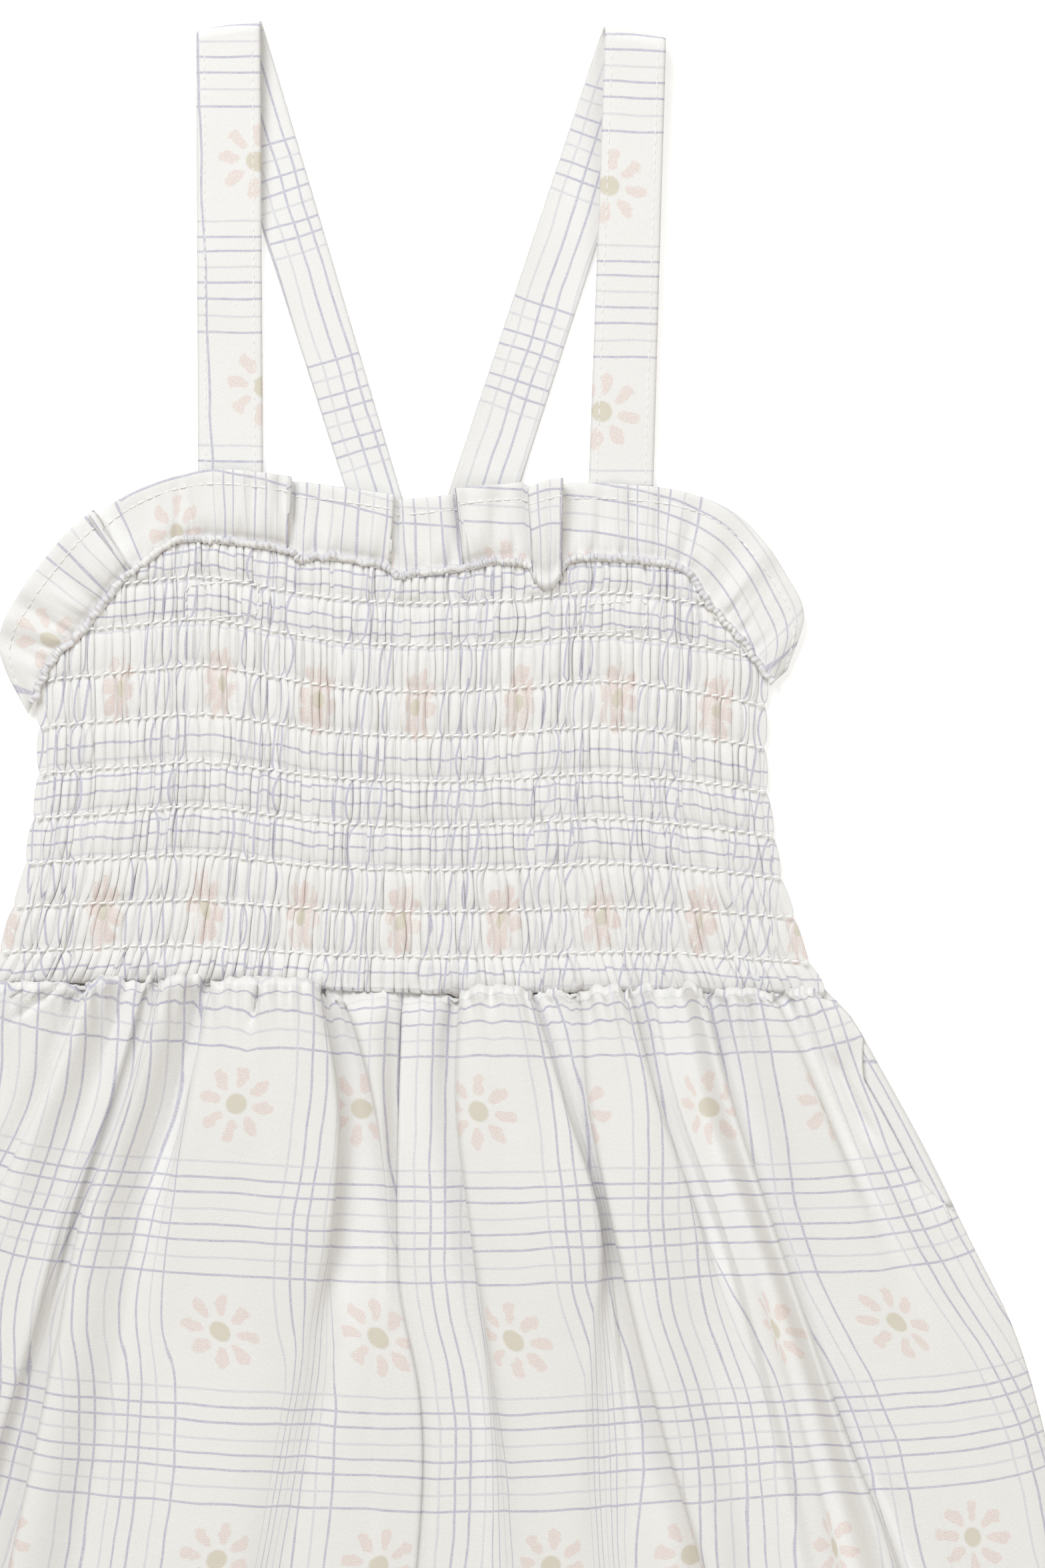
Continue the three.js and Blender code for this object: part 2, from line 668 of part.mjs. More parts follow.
const garment = new THREE.Group();
garment.add(
  piece("bodice_front", bodiceFront()),
  piece("bodice_back", bodiceBack()),
  piece("ruffle", ruffle()),
  piece("leg_front_left", legFront("left")),
  piece("leg_front_right", legFront("right")),
  piece("leg_back_left", legBack("left")),
  piece("leg_back_right", legBack("right")),
  piece("pocket_bag", pocketBag()),
);
for (const one of STRAPS) garment.add(piece(`strap_${one.side}`, strap(one)));

// The part's origin is the middle of its footprint, on the surface.
const extent = new THREE.Box3().setFromObject(garment, true);
const centre = extent.getCenter(new THREE.Vector3());
garment.position.set(-centre.x, -centre.y, -extent.min.z);

export default new THREE.Group().add(garment);
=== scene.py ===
"""A baby jumpsuit laid flat, front side up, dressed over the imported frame.

Garment millimetres are used for every table: X to the picture's right, Y up from the waist seam and Z up
from the surface that it lies on. They become metres in the frame when a piece is made.
"""

import math

import bpy
import numpy as np
from bpy.props import FloatProperty, FloatVectorProperty, PointerProperty
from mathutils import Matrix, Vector


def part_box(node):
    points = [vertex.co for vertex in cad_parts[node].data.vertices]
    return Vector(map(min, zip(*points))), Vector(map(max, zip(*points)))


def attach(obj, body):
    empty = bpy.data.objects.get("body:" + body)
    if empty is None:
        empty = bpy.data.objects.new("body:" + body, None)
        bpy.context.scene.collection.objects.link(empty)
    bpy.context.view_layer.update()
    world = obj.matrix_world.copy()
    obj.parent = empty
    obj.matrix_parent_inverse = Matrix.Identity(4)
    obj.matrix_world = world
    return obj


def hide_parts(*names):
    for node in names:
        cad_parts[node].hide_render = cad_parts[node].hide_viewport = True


bl_info = {
    "name": "Baby jumpsuit",
    "version": (1, 0, 0),
    "blender": (4, 5, 0),
    "location": "View3D > Sidebar > Jumpsuit",
    "description": "Makes a smocked, strappy baby jumpsuit of printed cotton, laid flat",
    "category": "Add Mesh",
}

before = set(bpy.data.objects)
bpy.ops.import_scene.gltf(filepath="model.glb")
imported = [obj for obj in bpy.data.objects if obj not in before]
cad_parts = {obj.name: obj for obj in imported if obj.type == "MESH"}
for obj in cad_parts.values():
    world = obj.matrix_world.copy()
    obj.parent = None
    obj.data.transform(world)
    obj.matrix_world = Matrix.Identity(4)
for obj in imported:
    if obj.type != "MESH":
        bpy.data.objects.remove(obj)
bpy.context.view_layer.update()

MM = 0.001
SEAM = 0.3
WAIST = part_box("bodice_back")[0][1] / MM - SEAM / 2

# Print
REPEAT = 62.4  # from one daisy to the next, both ways
FAINT = 0.42
# Lines of the check: place in the repeat, and strength of the ink.
LINES = [
    (0.26, FAINT),
    (0.33, 1.0),
    (0.395, 1.0),
    (0.468, FAINT),
    (0.536, 1.0),
    (0.606, 1.0),
    (0.682, FAINT),
    (0.756, 1.0),
]
LINE_HALF = 0.2
LINE_EDGE = 0.26  # over which a line fades out
WOBBLE = 1.6  # how far the print strays, from side to side
PETALS = 8
FIRST_DAISY_ROW = 33.0  # below the waist
WEAVE = 15.0  # radians of warp or weft in a millimetre

# Heights
BACK_TOP = 1.2  # upper side of the backs
BACK_WALL = 1.1
STRAP_REST = 0.95  # middle of a strap's lower layer
FRONT_UNDER = BACK_TOP + SEAM
FRONT_SEAM = FRONT_UNDER + 1.2
FRONT_LOWEST = 2.2
SIDE_Z = 1.8  # upper side of a leg's front at the side seam
INSEAM_Z = 2.0  # and at the inseam
BODICE_TOP_Z = 2.7

# Legs
CROTCH = -215.0
HEM = -455.0
BELOW_CROTCH = CROTCH - 4
CENTRE_LAP = 0.7  # of the left front over the centre seam
LEG_PUFF = 5.3  # height of a front between two folds
FOLD_HEIGHT = 7.2  # the tallest fold over that
FOLD_REACH = 12.0  # hidden cloth that gives a fold two thirds of that height
FULL_FOLD = 3.0  # a fold this tall has its full valley and edge
CRISP_REACH = 1.5  # half the width of a crisp edge
SOFT_REACH = 7.5  # and of a soft one
VALLEY_DEPTH = 4.0  # of the cloth beside a fold's low side
VALLEY_REACH = 6.5
LEVELS = [0, -32, -64, -96, -128, -160, CROTCH, -300, HEM]  # where the folds' values are given
COUNTED_LEVEL = 3  # where the columns of points are counted
COUNTED_SIDE = 172  # and the side seam there, for that count
COLUMN_STEP = 1.2

# The side seam, the centre seam and the inseam: height, and distance from the centre line.
LEG_SIDE = [
    (0, 116.8),
    (-8, 124.6),
    (-20, 131.7),
    (-46, 146),
    (-70, 157.8),
    (-96, 170.4),
    (-124, 178.7),
    (-160, 185.6),
    (CROTCH, 188),
    (-300, 184),
    (HEM, 172),
]
LEG_INSIDE = [
    (0, 0),
    (-80, -1),
    (-112, 4.8),
    (-132, 6),
    (-160, 4.4),
    (-195, 0.6),
    (CROTCH, 0),
]
INSEAM = [(CROTCH, 0), (-224, 4.5), (-240, 8.5), (-320, 17), (HEM, 25)]

# Folds of the front legs from the centre seam outwards: name, which side laps over (-1 the inner one),
# distance from the centre line at each level, cloth hidden at each level, and how soft the fold is there,
# from 0 where its edge laps over to 1 where it is only a slope.
RIGHT_FOLDS = [
    ("inner valley", 1,
     [16, 14.8, 18.5, 23, 27, 29.5, 38, 48, 60],
     [36, 29, 25, 22, 18, 14, 11, 7, 3],
     [0, 0, 0, 0.3, 0.7, 0.9, 1, 1, 1]),
    ("inner fold", -1,
     [36, 45.5, 55, 56, 55, 57, 66, 78, 88],
     [20, 18, 18, 17, 19, 23.5, 18, 8, 0],
     [0, 0, 0.1, 0.9, 1, 1, 1, 1, 1]),
    ("middle near", 1,
     [49.3, 51.5, 57.8, 65, 73.5, 83, 96, 104, 108],
     [16, 18, 21, 23, 21, 17.4, 12, 8, 6],
     [0.2, 0.1, 0, 0, 0, 0, 0.1, 0.4, 0.8]),
    ("middle far", -1,
     [63, 71.5, 82.5, 91, 98, 104, 112, 120, 124],
     [22, 22, 14, 2, 0, 0, 0, 0, 0],
     [0, 0, 0.3, 1, 1, 1, 1, 1, 1]),
    ("soft step", -1,
     [74, 80, 92, 103, 112.5, 121, 133, 138, 138],
     [2, 3, 7, 11, 10, 8, 6, 3, 1],
     [0.8, 0.8, 0.8, 0.6, 0.5, 0.6, 0.8, 1, 1]),
    ("outer", -1,
     [83.5, 91.8, 102.5, 113.5, 125, 137.5, 151, 155, 152],
     [28, 27, 26, 26, 23, 19.3, 13, 8, 4],
     [0, 0, 0, 0, 0.15, 0.4, 0.7, 1, 1]),
    ("pocket", -1,
     [103, 116.6, 129.5, 142, 152, 160, 168, 168, 162],
     [20, 15, 7, 1, 0, 0, 0, 0, 0],
     [0, 0.2, 0.7, 1, 1, 1, 1, 1, 1]),
]
LEFT_FOLDS = [
    ("centre flap", -1,
     [16.5, 8, 4, 4.5, 4.5, 4.8, 8, 16, 32],
     [14, 14, 9, 0, 0, 0, 0, 0, 0],
     [0.1, 0, 0, 0.6, 1, 1, 1, 1, 1]),
    ("broad near", 1,
     [22.6, 17.3, 18.8, 22.5, 31.5, 38.5, 50, 62, 74],
     [28, 28, 24, 19, 18, 17, 13, 8, 4],
     [0, 0, 0, 0.9, 1, 0.9, 0.8, 0.9, 1]),
    ("broad far", -1,
     [53, 60, 66, 70, 76, 82, 90, 98, 104],
     [14, 12, 6, 1, 0, 0, 0, 0, 0],
     [0, 0.3, 0.8, 1, 1, 1, 1, 1, 1]),
    ("deep", -1,
     [67.4, 77, 89, 95.6, 102, 109, 122, 132, 134],
     [44, 44, 41, 34, 28, 23, 15, 8, 6],
     [0, 0, 0, 0, 0, 0, 0.3, 0.7, 1]),
    ("deep far", 1,
     [74, 84, 94, 102.3, 112, 121, 136, 145, 146],
     [0, 0, 3, 8, 10, 11, 9, 5, 0],
     [1, 1, 0.8, 0.2, 0.1, 0.2, 0.6, 1, 1]),
    ("outer", -1,
     [87.5, 100.5, 116, 130, 141, 149, 158, 160, 156],
     [26, 26, 20, 12, 9, 7, 5, 2, 0],
     [0, 0, 0.3, 0.6, 0.8, 0.8, 1, 1, 1]),
]

# Where the gathers' tops reach at the waist, in each stretch of cloth from the centre seam outwards.
RIGHT_TOPS = [-1.9, 0.7, -0.4, 0.7, 0.9, 1.5, -0.2, 0.0]
LEFT_TOPS = [-0.9, -0.6, 3.0, 3.5, 3.1, 3.1, 1.5]
UNDER_BODICE = (-22, 14)  # the stretch of the waist where the bodice's lower edge lies over the gathers

# Short creases of the gathers: place at the waist, slant, depth, width, top and bottom end, and how far
# the crease draws the print down.
CREASES = [
    (-39.6, 0.19, 3.6, 0.8, 20.0, -13.0, 2.2),
    (110.5, -0.477, 2.6, 2.2, -16.0, -46.0, 0.0),
    (-96.0, 1.25, 2.0, 1.6, 20.0, -12.0, 0.0),
    (92.0, -0.35, 1.8, 1.1, 20.0, -9.0, 0.5),
    (24.0, -0.1, 2.0, 0.9, 20.0, -10.0, 0.6),
]

# The legs: way out from the centre, folds, tops, cloth passed at the centre seam at each level, and where
# the first daisy column lies after it.
LEGS = {
    "right": {"way": 1, "folds": RIGHT_FOLDS, "tops": RIGHT_TOPS, "start": [0.2] * 9, "daisy": -11.3},
    "left": {
        "way": -1,
        "folds": LEFT_FOLDS,
        "tops": LEFT_TOPS,
        "start": [0, 0, 5, 15.9, 15, 13.9, 12, 12, 12],
        "daisy": 25.2,
    },
}

# Pocket in the right side seam: the ends of its mouth, and how far that gapes.
POCKET = {"top": -14.0, "bottom": -64.0, "gape": 6.6}
POCKET_DEPTH = 26.0  # of the bag, as far as it shows
BAR_TACK = [(150.4, -60.2), (152.3, -64.6)]

# Share of the way through a fold's edge: place over its crest, drop, and share of the cloth passed.
FOLD_EDGE = [
    (-1.5, 0.0, 0.0),
    (-0.75, 0.04, 0.05),
    (-0.2, 0.17, 0.11),
    (0.05, 0.38, 0.2),
    (-0.05, 0.6, 0.42),
    (-0.35, 0.8, 0.7),
    (-0.3, 0.93, 0.88),
    (0.4, 0.99, 0.97),
    (1.5, 1.0, 1.0),
]

# The gathers' tops, row by row: y from the top and share of the full height. First where the gathers
# puff out over the waist seam, then where they lie under the bodice's edge.
PUFFED = [(-1.2, 0.0), (-0.9, 0.22), (-0.2, 0.42), (0.0, 0.6), (-0.35, 0.78), (-1.1, 0.9), (-2.2, 1.0)]
TUCKED = [(1.6, 0.0), (1.2, 0.02), (0.8, 0.04), (0.3, 0.07), (-0.3, 0.14), (-1.1, 0.28), (-2.2, 0.45)]

# Bodice
BODICE_HALF = 101.0  # half width, where a first guess will do
RIB_HALF = 102.0  # half width over which the ribs share the cloth
SIDE_TOP = 88.0  # where the side edges end

# Side edges: height, and distance from the centre line.
BODICE_SIDE = [
    (0, 116.8),
    (10, 111.5),
    (20, 108.5),
    (30, 105.2),
    (42, 103),
    (56, 101),
    (72, 100.6),
    (90, 101.2),
]

# Shirring lines: height, and how much of the wave below they follow.
SHIRRING = [
    (106.6, 1.0),
    (94.9, 1.0),
    (82.0, 1.0),
    (69.7, 0.85),
    (57.1, 0.75),
    (44.6, 0.75),
    (32.5, 0.6),
    (20.9, 0.45),
    (8.4, 0.45),
]

# Their wave: place from left to right, and rise.
ROW_WAVE = [
    (-105, 2.6),
    (-75, 5.6),
    (-55, 7.3),
    (-35, 4),
    (-18, 1.3),
    (5, 0),
    (30, 0.9),
    (55, 3),
    (78, 0.6),
    (105, -4.6),
]

# How much of that wave the print follows at each height.
PRINT_WAVE = [(0, 0.3), (8.4, 0.45), (20.9, 0.45), (44.6, 0.75), (69.7, 0.85), (94.9, 1.0)]

# Lower edge, hidden under the gathers' tops except in the middle.
BODICE_BOTTOM = [
    (-118, 0.4),
    (-85, 2.2),
    (-30, 2.2),
    (-24, 0.2),
    (-17, -0.9),
    (0, -1.6),
    (13, -1.9),
    (19, -0.4),
    (118, -0.6),
]

RIBS = 88

# Across one rib: place, share of its cloth passed, and height. The valleys hide the most cloth.
RIB = [
    (0.0, 0.0, -0.2),
    (0.09, 0.17, 0.6),
    (0.27, 0.32, 0.95),
    (0.5, 0.5, 1.0),
    (0.73, 0.68, 0.95),
    (0.91, 0.83, 0.6),
]
RIB_HEIGHT = 1.75  # tallest rib over the cloth beside it
ROWS_IN_BAND = 7  # of points, from one shirring line to the next
GATHER = 2.25  # cloth gathered into a millimetre
BACK_NECK = 119.0  # top edge of the back
# Stitches that hold the strap ends: left, right, low and high side.
STRAP_BOXES = [(-60, -40, 102, 111.5), (49, 68, 98, 106)]

# The bodice's rolled top edge, from left to right, with its dips where the ruffle is folded.
TOP_EDGE = [
    (-102.6, 79.0),
    (-98.7, 88.3),
    (-95.2, 93.1),
    (-90.9, 96.7),
    (-84.1, 105.2),
    (-77.6, 113.3),
    (-70.6, 118.7),
    (-63.1, 123.9),
    (-50.6, 124.1),
    (-30.9, 121.1),
    (-28.6, 118.7),
    (-22.8, 119.8),
    (-4.3, 116.7),
    (-1.3, 114.2),
    (1.5, 114.6),
    (17.0, 116.5),
    (25.4, 118.3),
    (33.9, 117.6),
    (38.7, 115.4),
    (42.4, 115.8),
    (45.9, 118.3),
    (51.3, 119.4),
    (69.8, 118.1),
    (79.1, 115.6),
    (82.8, 110.4),
    (86.5, 104.8),
    (93.5, 97.4),
    (99.4, 89.4),
    (102.8, 84.0),
]

# Hem of the ruffle: a place of the top edge, and the hem's own place, height on the garment and Z there.
RUFFLE_HEM = [
    (-102.6, -104.0, 76.0, 2.6),
    (-101.0, -109.8, 87.0, 2.8),
    (-97.0, -111.8, 96.5, 3.2),
    (-90.9, -107.5, 106.5, 3.5),
    (-84.1, -99.8, 117.0, 3.8),
    (-77.6, -90.0, 127.8, 4.0),
    (-70.6, -77.0, 137.0, 4.3),
    (-63.1, -65.0, 141.7, 4.5),
    (-50.6, -51.0, 143.8, 4.6),
    (-30.9, -30.2, 141.4, 4.5),
    (-4.3, -3.0, 137.0, 4.3),
    (1.5, 0.6, 136.4, 4.3),
    (17.0, 14.8, 138.0, 4.4),
    (33.9, 33.0, 139.6, 4.4),
    (45.9, 45.4, 140.2, 4.4),
    (69.8, 70.2, 139.0, 4.4),
    (79.1, 83.5, 136.0, 4.2),
    (82.8, 92.6, 131.6, 4.1),
    (86.5, 99.4, 125.2, 4.0),
    (93.5, 106.8, 114.6, 3.6),
    (99.4, 111.8, 102.4, 3.0),
    (102.8, 107.2, 88.0, 2.6),
]

# Panels of the ruffle between its folds: first and last place along the top edge, how far its hem stands
# up there, how high its edge laps over at each end, and the cloth passed at each end.
RUFFLE_PANELS = [
    ("left wing", -102.6, -75.0, 0.0, 0.8, 0.0, 3.2, -17.0, 35.6),
    ("left shoulder", -73.4, -31.6, -0.6, 0.2, 0.0, 2.8, 45.4, 110.1),
    ("left of centre", -29.2, -3.2, -0.8, -0.2, 0.0, 2.0, 143.1, 174.5),
    ("centre", 0.2, 17.2, -1.0, -1.2, 0.0, 0.0, 207.3, 226.0),
    ("right of centre", 17.0, 34.4, 0.3, 0.5, 2.8, 0.0, 234.4, 258.0),
    ("flap", 35.6, 45.4, -1.6, 1.0, 4.2, 4.2, 270.5, 284.0),
    ("right wing", 46.4, 102.8, -0.2, 0.0, 0.0, 0.0, 305.5, 398.0),
]
FLAP = (35.2, 46.0)  # where the ruffle hangs down over the top edge
FLAP_MIDDLE = 40.2
RUFFLE_ROOT = 4.2  # height where it is sewn on
HEM_STITCH = 0.8  # share of the ruffle's height where its hem is stitched

# Straps: middle of the fold and of both ends, the fold's radius, widths at the front end, at the fold and at
# the back end, one daisy, the print's slant, the print inside, and the seed of the ripple.
STRAPS = {
    "left": {
        "fold": (-48.2, 264.2),
        "front_end": (-47.6, 123.6),
        "back_end": (-3.6, 119.3),
        "radius": 2.6,
        "widths": (18.2, 17.8, 14.0),
        "daisy": (7.6, 229.0),
        "slant": 0.03,
        "inside_line": 8.0 + 0.395 * REPEAT,
        "inside_slip": -2.2,
        "seed": 7,
    },
    "right": {
        "fold": (64.8, 261.6),
        "front_end": (60.2, 118.7),
        "back_end": (18.2, 119.3),
        "radius": 3.4,
        "widths": (18.2, 17.0, 18.4),
        "daisy": (-6.0, 222.0),
        "slant": 0.0,
        "inside_line": 0.7 + 0.33 * REPEAT,
        "inside_slip": -13.3,
        "seed": 17,
    },
}
STRAP_COLUMNS = 17  # of points across
STRAP_STITCH = 2.0  # of the topstitching, from the strap's edge

# Width and height that each sheet of cloth was cut to, in metres.
CUT = {
    "leg front": (0.275, 0.455),
    "leg back": (0.19, 0.455),
    "pocket": (0.03, 0.05),
    "bodice front": (0.451, 0.13),
    "bodice back": (0.234, 0.12),
    "ruffle": (0.43, 0.027),
}
STRAP_CUT = 0.018  # width of a strap, whose length is measured

# Stage
FLOOR_SIZE = 30
FLOOR_Z = -0.0002  # just under the garment
VIEW_MIDDLE = (33.5, 56.3, 4)
CAMERA_HEIGHT = 2.2  # in metres, over that
SENSOR = 36  # of the camera, in millimetres
WORLD_COLOUR = (1.0, 0.90, 0.76, 1)
LAMP_COLOUR = (0.89, 0.948, 1.0)
LAMP_AIM = (0.02, 0.1, 0)
# Lamps: name, place in metres, share of the key light's strength, and size.
LAMPS = [
    ("key", (-0.58, 1.2, 1.35), 1.0, 0.9),
    ("fill", (0.9, -0.2, 1.4), 0.4, 1.4),
]


class GarmentSettings(bpy.types.PropertyGroup):
    """Sizes and colours of the jumpsuit's cloth and thread."""

    wall: FloatProperty(
        name="Cloth thickness",
        description="Thickness of the cotton with its seam allowances pressed flat",
        default=0.5 * MM,
        min=0.1 * MM,
        max=2 * MM,
        unit="LENGTH",
    )
    stitch: FloatProperty(
        name="Stitch length",
        description="Distance from one stitch to the next",
        default=2.6 * MM,
        min=1 * MM,
        max=6 * MM,
        unit="LENGTH",
    )
    cloth: FloatVectorProperty(
        name="Cotton",
        description="Colour of the unprinted cotton",
        default=(0.893, 0.881, 0.863),
        subtype="COLOR",
        min=0,
        max=1,
    )
    ink: FloatVectorProperty(
        name="Check lines",
        description="Colour of the strong check lines",
        default=(0.475, 0.460, 0.585),
        subtype="COLOR",
        min=0,
        max=1,
    )
    petal: FloatVectorProperty(
        name="Petals",
        description="Colour of the daisy's petals",
        default=(0.810, 0.675, 0.630),
        subtype="COLOR",
        min=0,
        max=1,
    )
    centre: FloatVectorProperty(
        name="Daisy centre",
        description="Colour of the daisy's centre",
        default=(0.705, 0.650, 0.535),
        subtype="COLOR",
        min=0,
        max=1,
    )
    thread: FloatVectorProperty(
        name="Thread",
        description="Colour of the sewing and elastic thread",
        default=(1.0, 0.995, 0.98),
        subtype="COLOR",
        min=0,
        max=1,
    )


class StageSettings(bpy.types.PropertyGroup):
    """Sizes and lights of the stage."""

    view_height: FloatProperty(
        name="View height",
        description="Height of the camera's view where the garment lies",
        default=435.6 * MM,
        min=100 * MM,
        max=2000 * MM,
        unit="LENGTH",
    )
    sky: FloatProperty(
        name="Soft light",
        description="Strength of the even light from all round",
        default=0.40,
        min=0,
        max=5,
    )
    lamp: FloatProperty(
        name="Key light",
        description="Strength of the large lamp at the upper left",
        default=22.0,
        min=0,
        max=500,
        unit="POWER",
    )


def follow(table, at, column=1):
    """A column of a table at the places given, with soft joins between the table's rows."""
    rows = sorted(table)
    xs = np.array([row[0] for row in rows], float)
    ys = np.array([row[column] for row in rows], float)
    at = np.clip(np.asarray(at, float), xs[0], xs[-1])
    slopes = np.empty_like(ys)
    slopes[1:-1] = (ys[2:] - ys[:-2]) / (xs[2:] - xs[:-2])
    slopes[0] = (ys[1] - ys[0]) / (xs[1] - xs[0])
    slopes[-1] = (ys[-1] - ys[-2]) / (xs[-1] - xs[-2])
    i = np.clip(np.searchsorted(xs, at) - 1, 0, len(xs) - 2)
    span = xs[i + 1] - xs[i]
    t = (at - xs[i]) / span
    low = (2 * t**3 - 3 * t**2 + 1) * ys[i] + (t**3 - 2 * t**2 + t) * slopes[i] * span
    high = (3 * t**2 - 2 * t**3) * ys[i + 1] + (t**3 - t**2) * slopes[i + 1] * span
    return low + high


def smooth(t):
    """A soft step from 0 to 1."""
    t = np.clip(t, 0, 1)
    return t * t * (3 - 2 * t)


def between(low, high, share):
    """A value part of the way from one to another."""
    return low + (high - low) * share


def window(x, span, soft):
    """1 inside a span and 0 outside it, with soft ends."""
    return smooth((x - span[0]) / soft) * smooth((span[1] - x) / soft)


def bell(x, width):
    """1 at 0, and falling off softly to both sides."""
    return np.exp(-((x / width) ** 2))


def ripple(x, y, length_x, length_y, seed):
    """A soft uneven ripple from -1 to 1, with about these lengths each way."""
    draw = np.random.default_rng(seed)
    waves = 7
    total = 0
    for _ in range(waves):
        turn_x, turn_y = draw.uniform(0.6, 1.5, 2) * draw.choice([-1, 1], 2)
        phase = 2 * math.pi * (x * turn_x / length_x + y * turn_y / length_y)
        total = total + np.sin(phase + draw.uniform(0, 6.28))
    return total / (waves / 2)


def unit(vectors):
    """The same vectors, each made 1 long."""
    return vectors / np.linalg.norm(vectors, axis=-1, keepdims=True)


def sheet_normals(points):
    """Normals of a grid of points, whose rows run upwards here."""
    along = np.gradient(points, axis=0)
    across = np.gradient(points, axis=1)
    return unit(np.cross(across, along))


def place(points):
    """Garment millimetres to the frame's metres."""
    moved = np.array(points, float) * MM
    moved[..., 1] += WAIST * MM
    return moved


def select_only(piece):
    """Makes a piece the one that is selected and active."""
    bpy.ops.object.select_all(action="DESELECT")
    piece.select_set(True)
    bpy.context.view_layer.objects.active = piece


def cloth_grid(name, points, uv, wall, inside_uv=None):
    """A sheet of cloth from rows of points, top row first. Its top side is at the points."""
    rows, columns = points.shape[:2]
    bpy.ops.object.select_all(action="DESELECT")
    bpy.ops.mesh.primitive_grid_add(x_subdivisions=columns - 1, y_subdivisions=rows - 1, size=1)
    piece = bpy.context.object
    piece.name = name
    piece.data.name = name
    mesh = piece.data
    start = np.empty(len(mesh.vertices) * 3)
    mesh.vertices.foreach_get("co", start)
    start = start.reshape(-1, 3)
    column = np.rint((start[:, 0] + 0.5) * (columns - 1)).astype(int)
    row = np.rint((0.5 - start[:, 1]) * (rows - 1)).astype(int)
    mesh.vertices.foreach_set("co", place(points)[row, column].ravel())
    while mesh.uv_layers:
        mesh.uv_layers.remove(mesh.uv_layers[0])
    mesh.uv_layers.new(name="cloth")
    set_uv(mesh, np.asarray(uv)[row, column])
    mesh.update()
    select_only(piece)
    bpy.ops.object.modifier_add(type="SOLIDIFY")
    piece.modifiers["Solidify"].thickness = wall
    piece.modifiers["Solidify"].offset = -1
    bpy.ops.object.modifier_apply(modifier="Solidify")
    if inside_uv is not None:
        count = rows * columns
        corner = corner_vertices(mesh)
        values = read_uv(mesh)
        inner = corner >= count
        values[inner] = np.asarray(inside_uv)[row, column][corner[inner] - count]
        mesh.uv_layers["cloth"].data.foreach_set("uv", values.ravel())
    bpy.ops.object.shade_smooth()
    return piece


def corner_vertices(mesh):
    """The vertex at each face corner."""
    corner = np.empty(len(mesh.loops), int)
    mesh.loops.foreach_get("vertex_index", corner)
    return corner


def read_uv(mesh):
    """The UV map, a row for each face corner."""
    values = np.empty(len(mesh.loops) * 2)
    mesh.uv_layers["cloth"].data.foreach_get("uv", values)
    return values.reshape(-1, 2)


def set_uv(mesh, by_vertex):
    """Cloth millimetres as the piece's UV map."""
    mesh.uv_layers["cloth"].data.foreach_set("uv", by_vertex[corner_vertices(mesh)].ravel())


class Value:
    """A number or colour in a material, so that shader maths reads as an expression."""

    def __init__(self, recipe, socket):
        self.recipe = recipe
        self.socket = socket

    def maths(self, operation, *others, clamp=False):
        """A Math node on this value and the others."""
        settings = {"operation": operation, "use_clamp": clamp}
        inputs = dict(enumerate([self, *others]))
        return self.recipe.node("ShaderNodeMath", settings, inputs)

    def clamped(self):
        """Kept from 0 to 1."""
        return self.maths("ADD", 0.0, clamp=True)

    def __add__(self, other):
        return self.maths("ADD", other)

    def __sub__(self, other):
        return self.maths("SUBTRACT", other)

    def __rsub__(self, other):
        return (self * -1) + other

    def __mul__(self, other):
        return self.maths("MULTIPLY", other)

    def __truediv__(self, other):
        return self.maths("DIVIDE", other)

    def __pow__(self, other):
        return self.maths("POWER", other)

    __radd__ = __add__
    __rmul__ = __mul__


class Recipe:
    """A material's nodes, added one call at a time."""

    def __init__(self, name, rough, sheen=0.0):
        self.material = bpy.data.materials.new(name)
        self.material.use_nodes = True
        self.tree = self.material.node_tree
        self.surface = self.tree.nodes["Principled BSDF"]
        self.surface.inputs["Roughness"].default_value = rough
        self.surface.inputs["Specular IOR Level"].default_value = 0.25
        self.surface.inputs["Sheen Weight"].default_value = sheen
        self.surface.inputs["Sheen Roughness"].default_value = 0.6

    def node(self, kind, settings, inputs, output=0):
        """Adds a node with its settings, and the values or links of its sockets."""
        made = self.tree.nodes.new(kind)
        for key, value in settings.items():
            setattr(made, key, value)
        for key, value in inputs.items():
            if isinstance(value, Value):
                self.tree.links.new(value.socket, made.inputs[key])
            else:
                made.inputs[key].default_value = value
        return Value(self, made.outputs[output])

    def feed(self, socket, value):
        """Links a value to a socket of the surface."""
        self.tree.links.new(value.socket, self.surface.inputs[socket])

    def noise(self, vector, scale, detail=2.0, output=0):
        """Noise over the surface: a number, or a colour from output 1."""
        inputs = {"Vector": vector, "Scale": scale, "Detail": detail}
        return self.node("ShaderNodeTexNoise", {}, inputs, output)

    def first_two(self, kind, value):
        """The first two parts of a vector or colour."""
        made = self.node(kind, {}, {0: value}).socket.node
        return [Value(self, made.outputs[i]) for i in (0, 1)]

    def mix(self, share, low, high):
        """A colour between two, by share."""
        settings = {"data_type": "RGBA"}
        return self.node("ShaderNodeMix", settings, {0: share, 6: low, 7: high}, 2)

    def bump(self, height, strength, distance):
        """Lets a height bend the surface's normal."""
        inputs = {"Height": height, "Strength": strength, "Distance": distance}
        self.feed("Normal", self.node("ShaderNodeBump", {}, inputs))


def rgba(colour, shade=1.0):
    """A colour with full alpha, darkened by a shade below 1."""
    return (*[part * shade for part in colour], 1.0)


def check_lines(across, half_width=LINE_HALF):
    """Ink of the check lines that cross this direction, in cloth millimetres."""
    share = (across / REPEAT).maths("FRACT")
    total = None
    for where, ink in LINES:
        distance = (share - where).maths("ABSOLUTE") * REPEAT
        line = (1.0 - (distance - half_width) / LINE_EDGE).clamped() * ink
        total = line if total is None else total.maths("MAXIMUM", line)
    return total


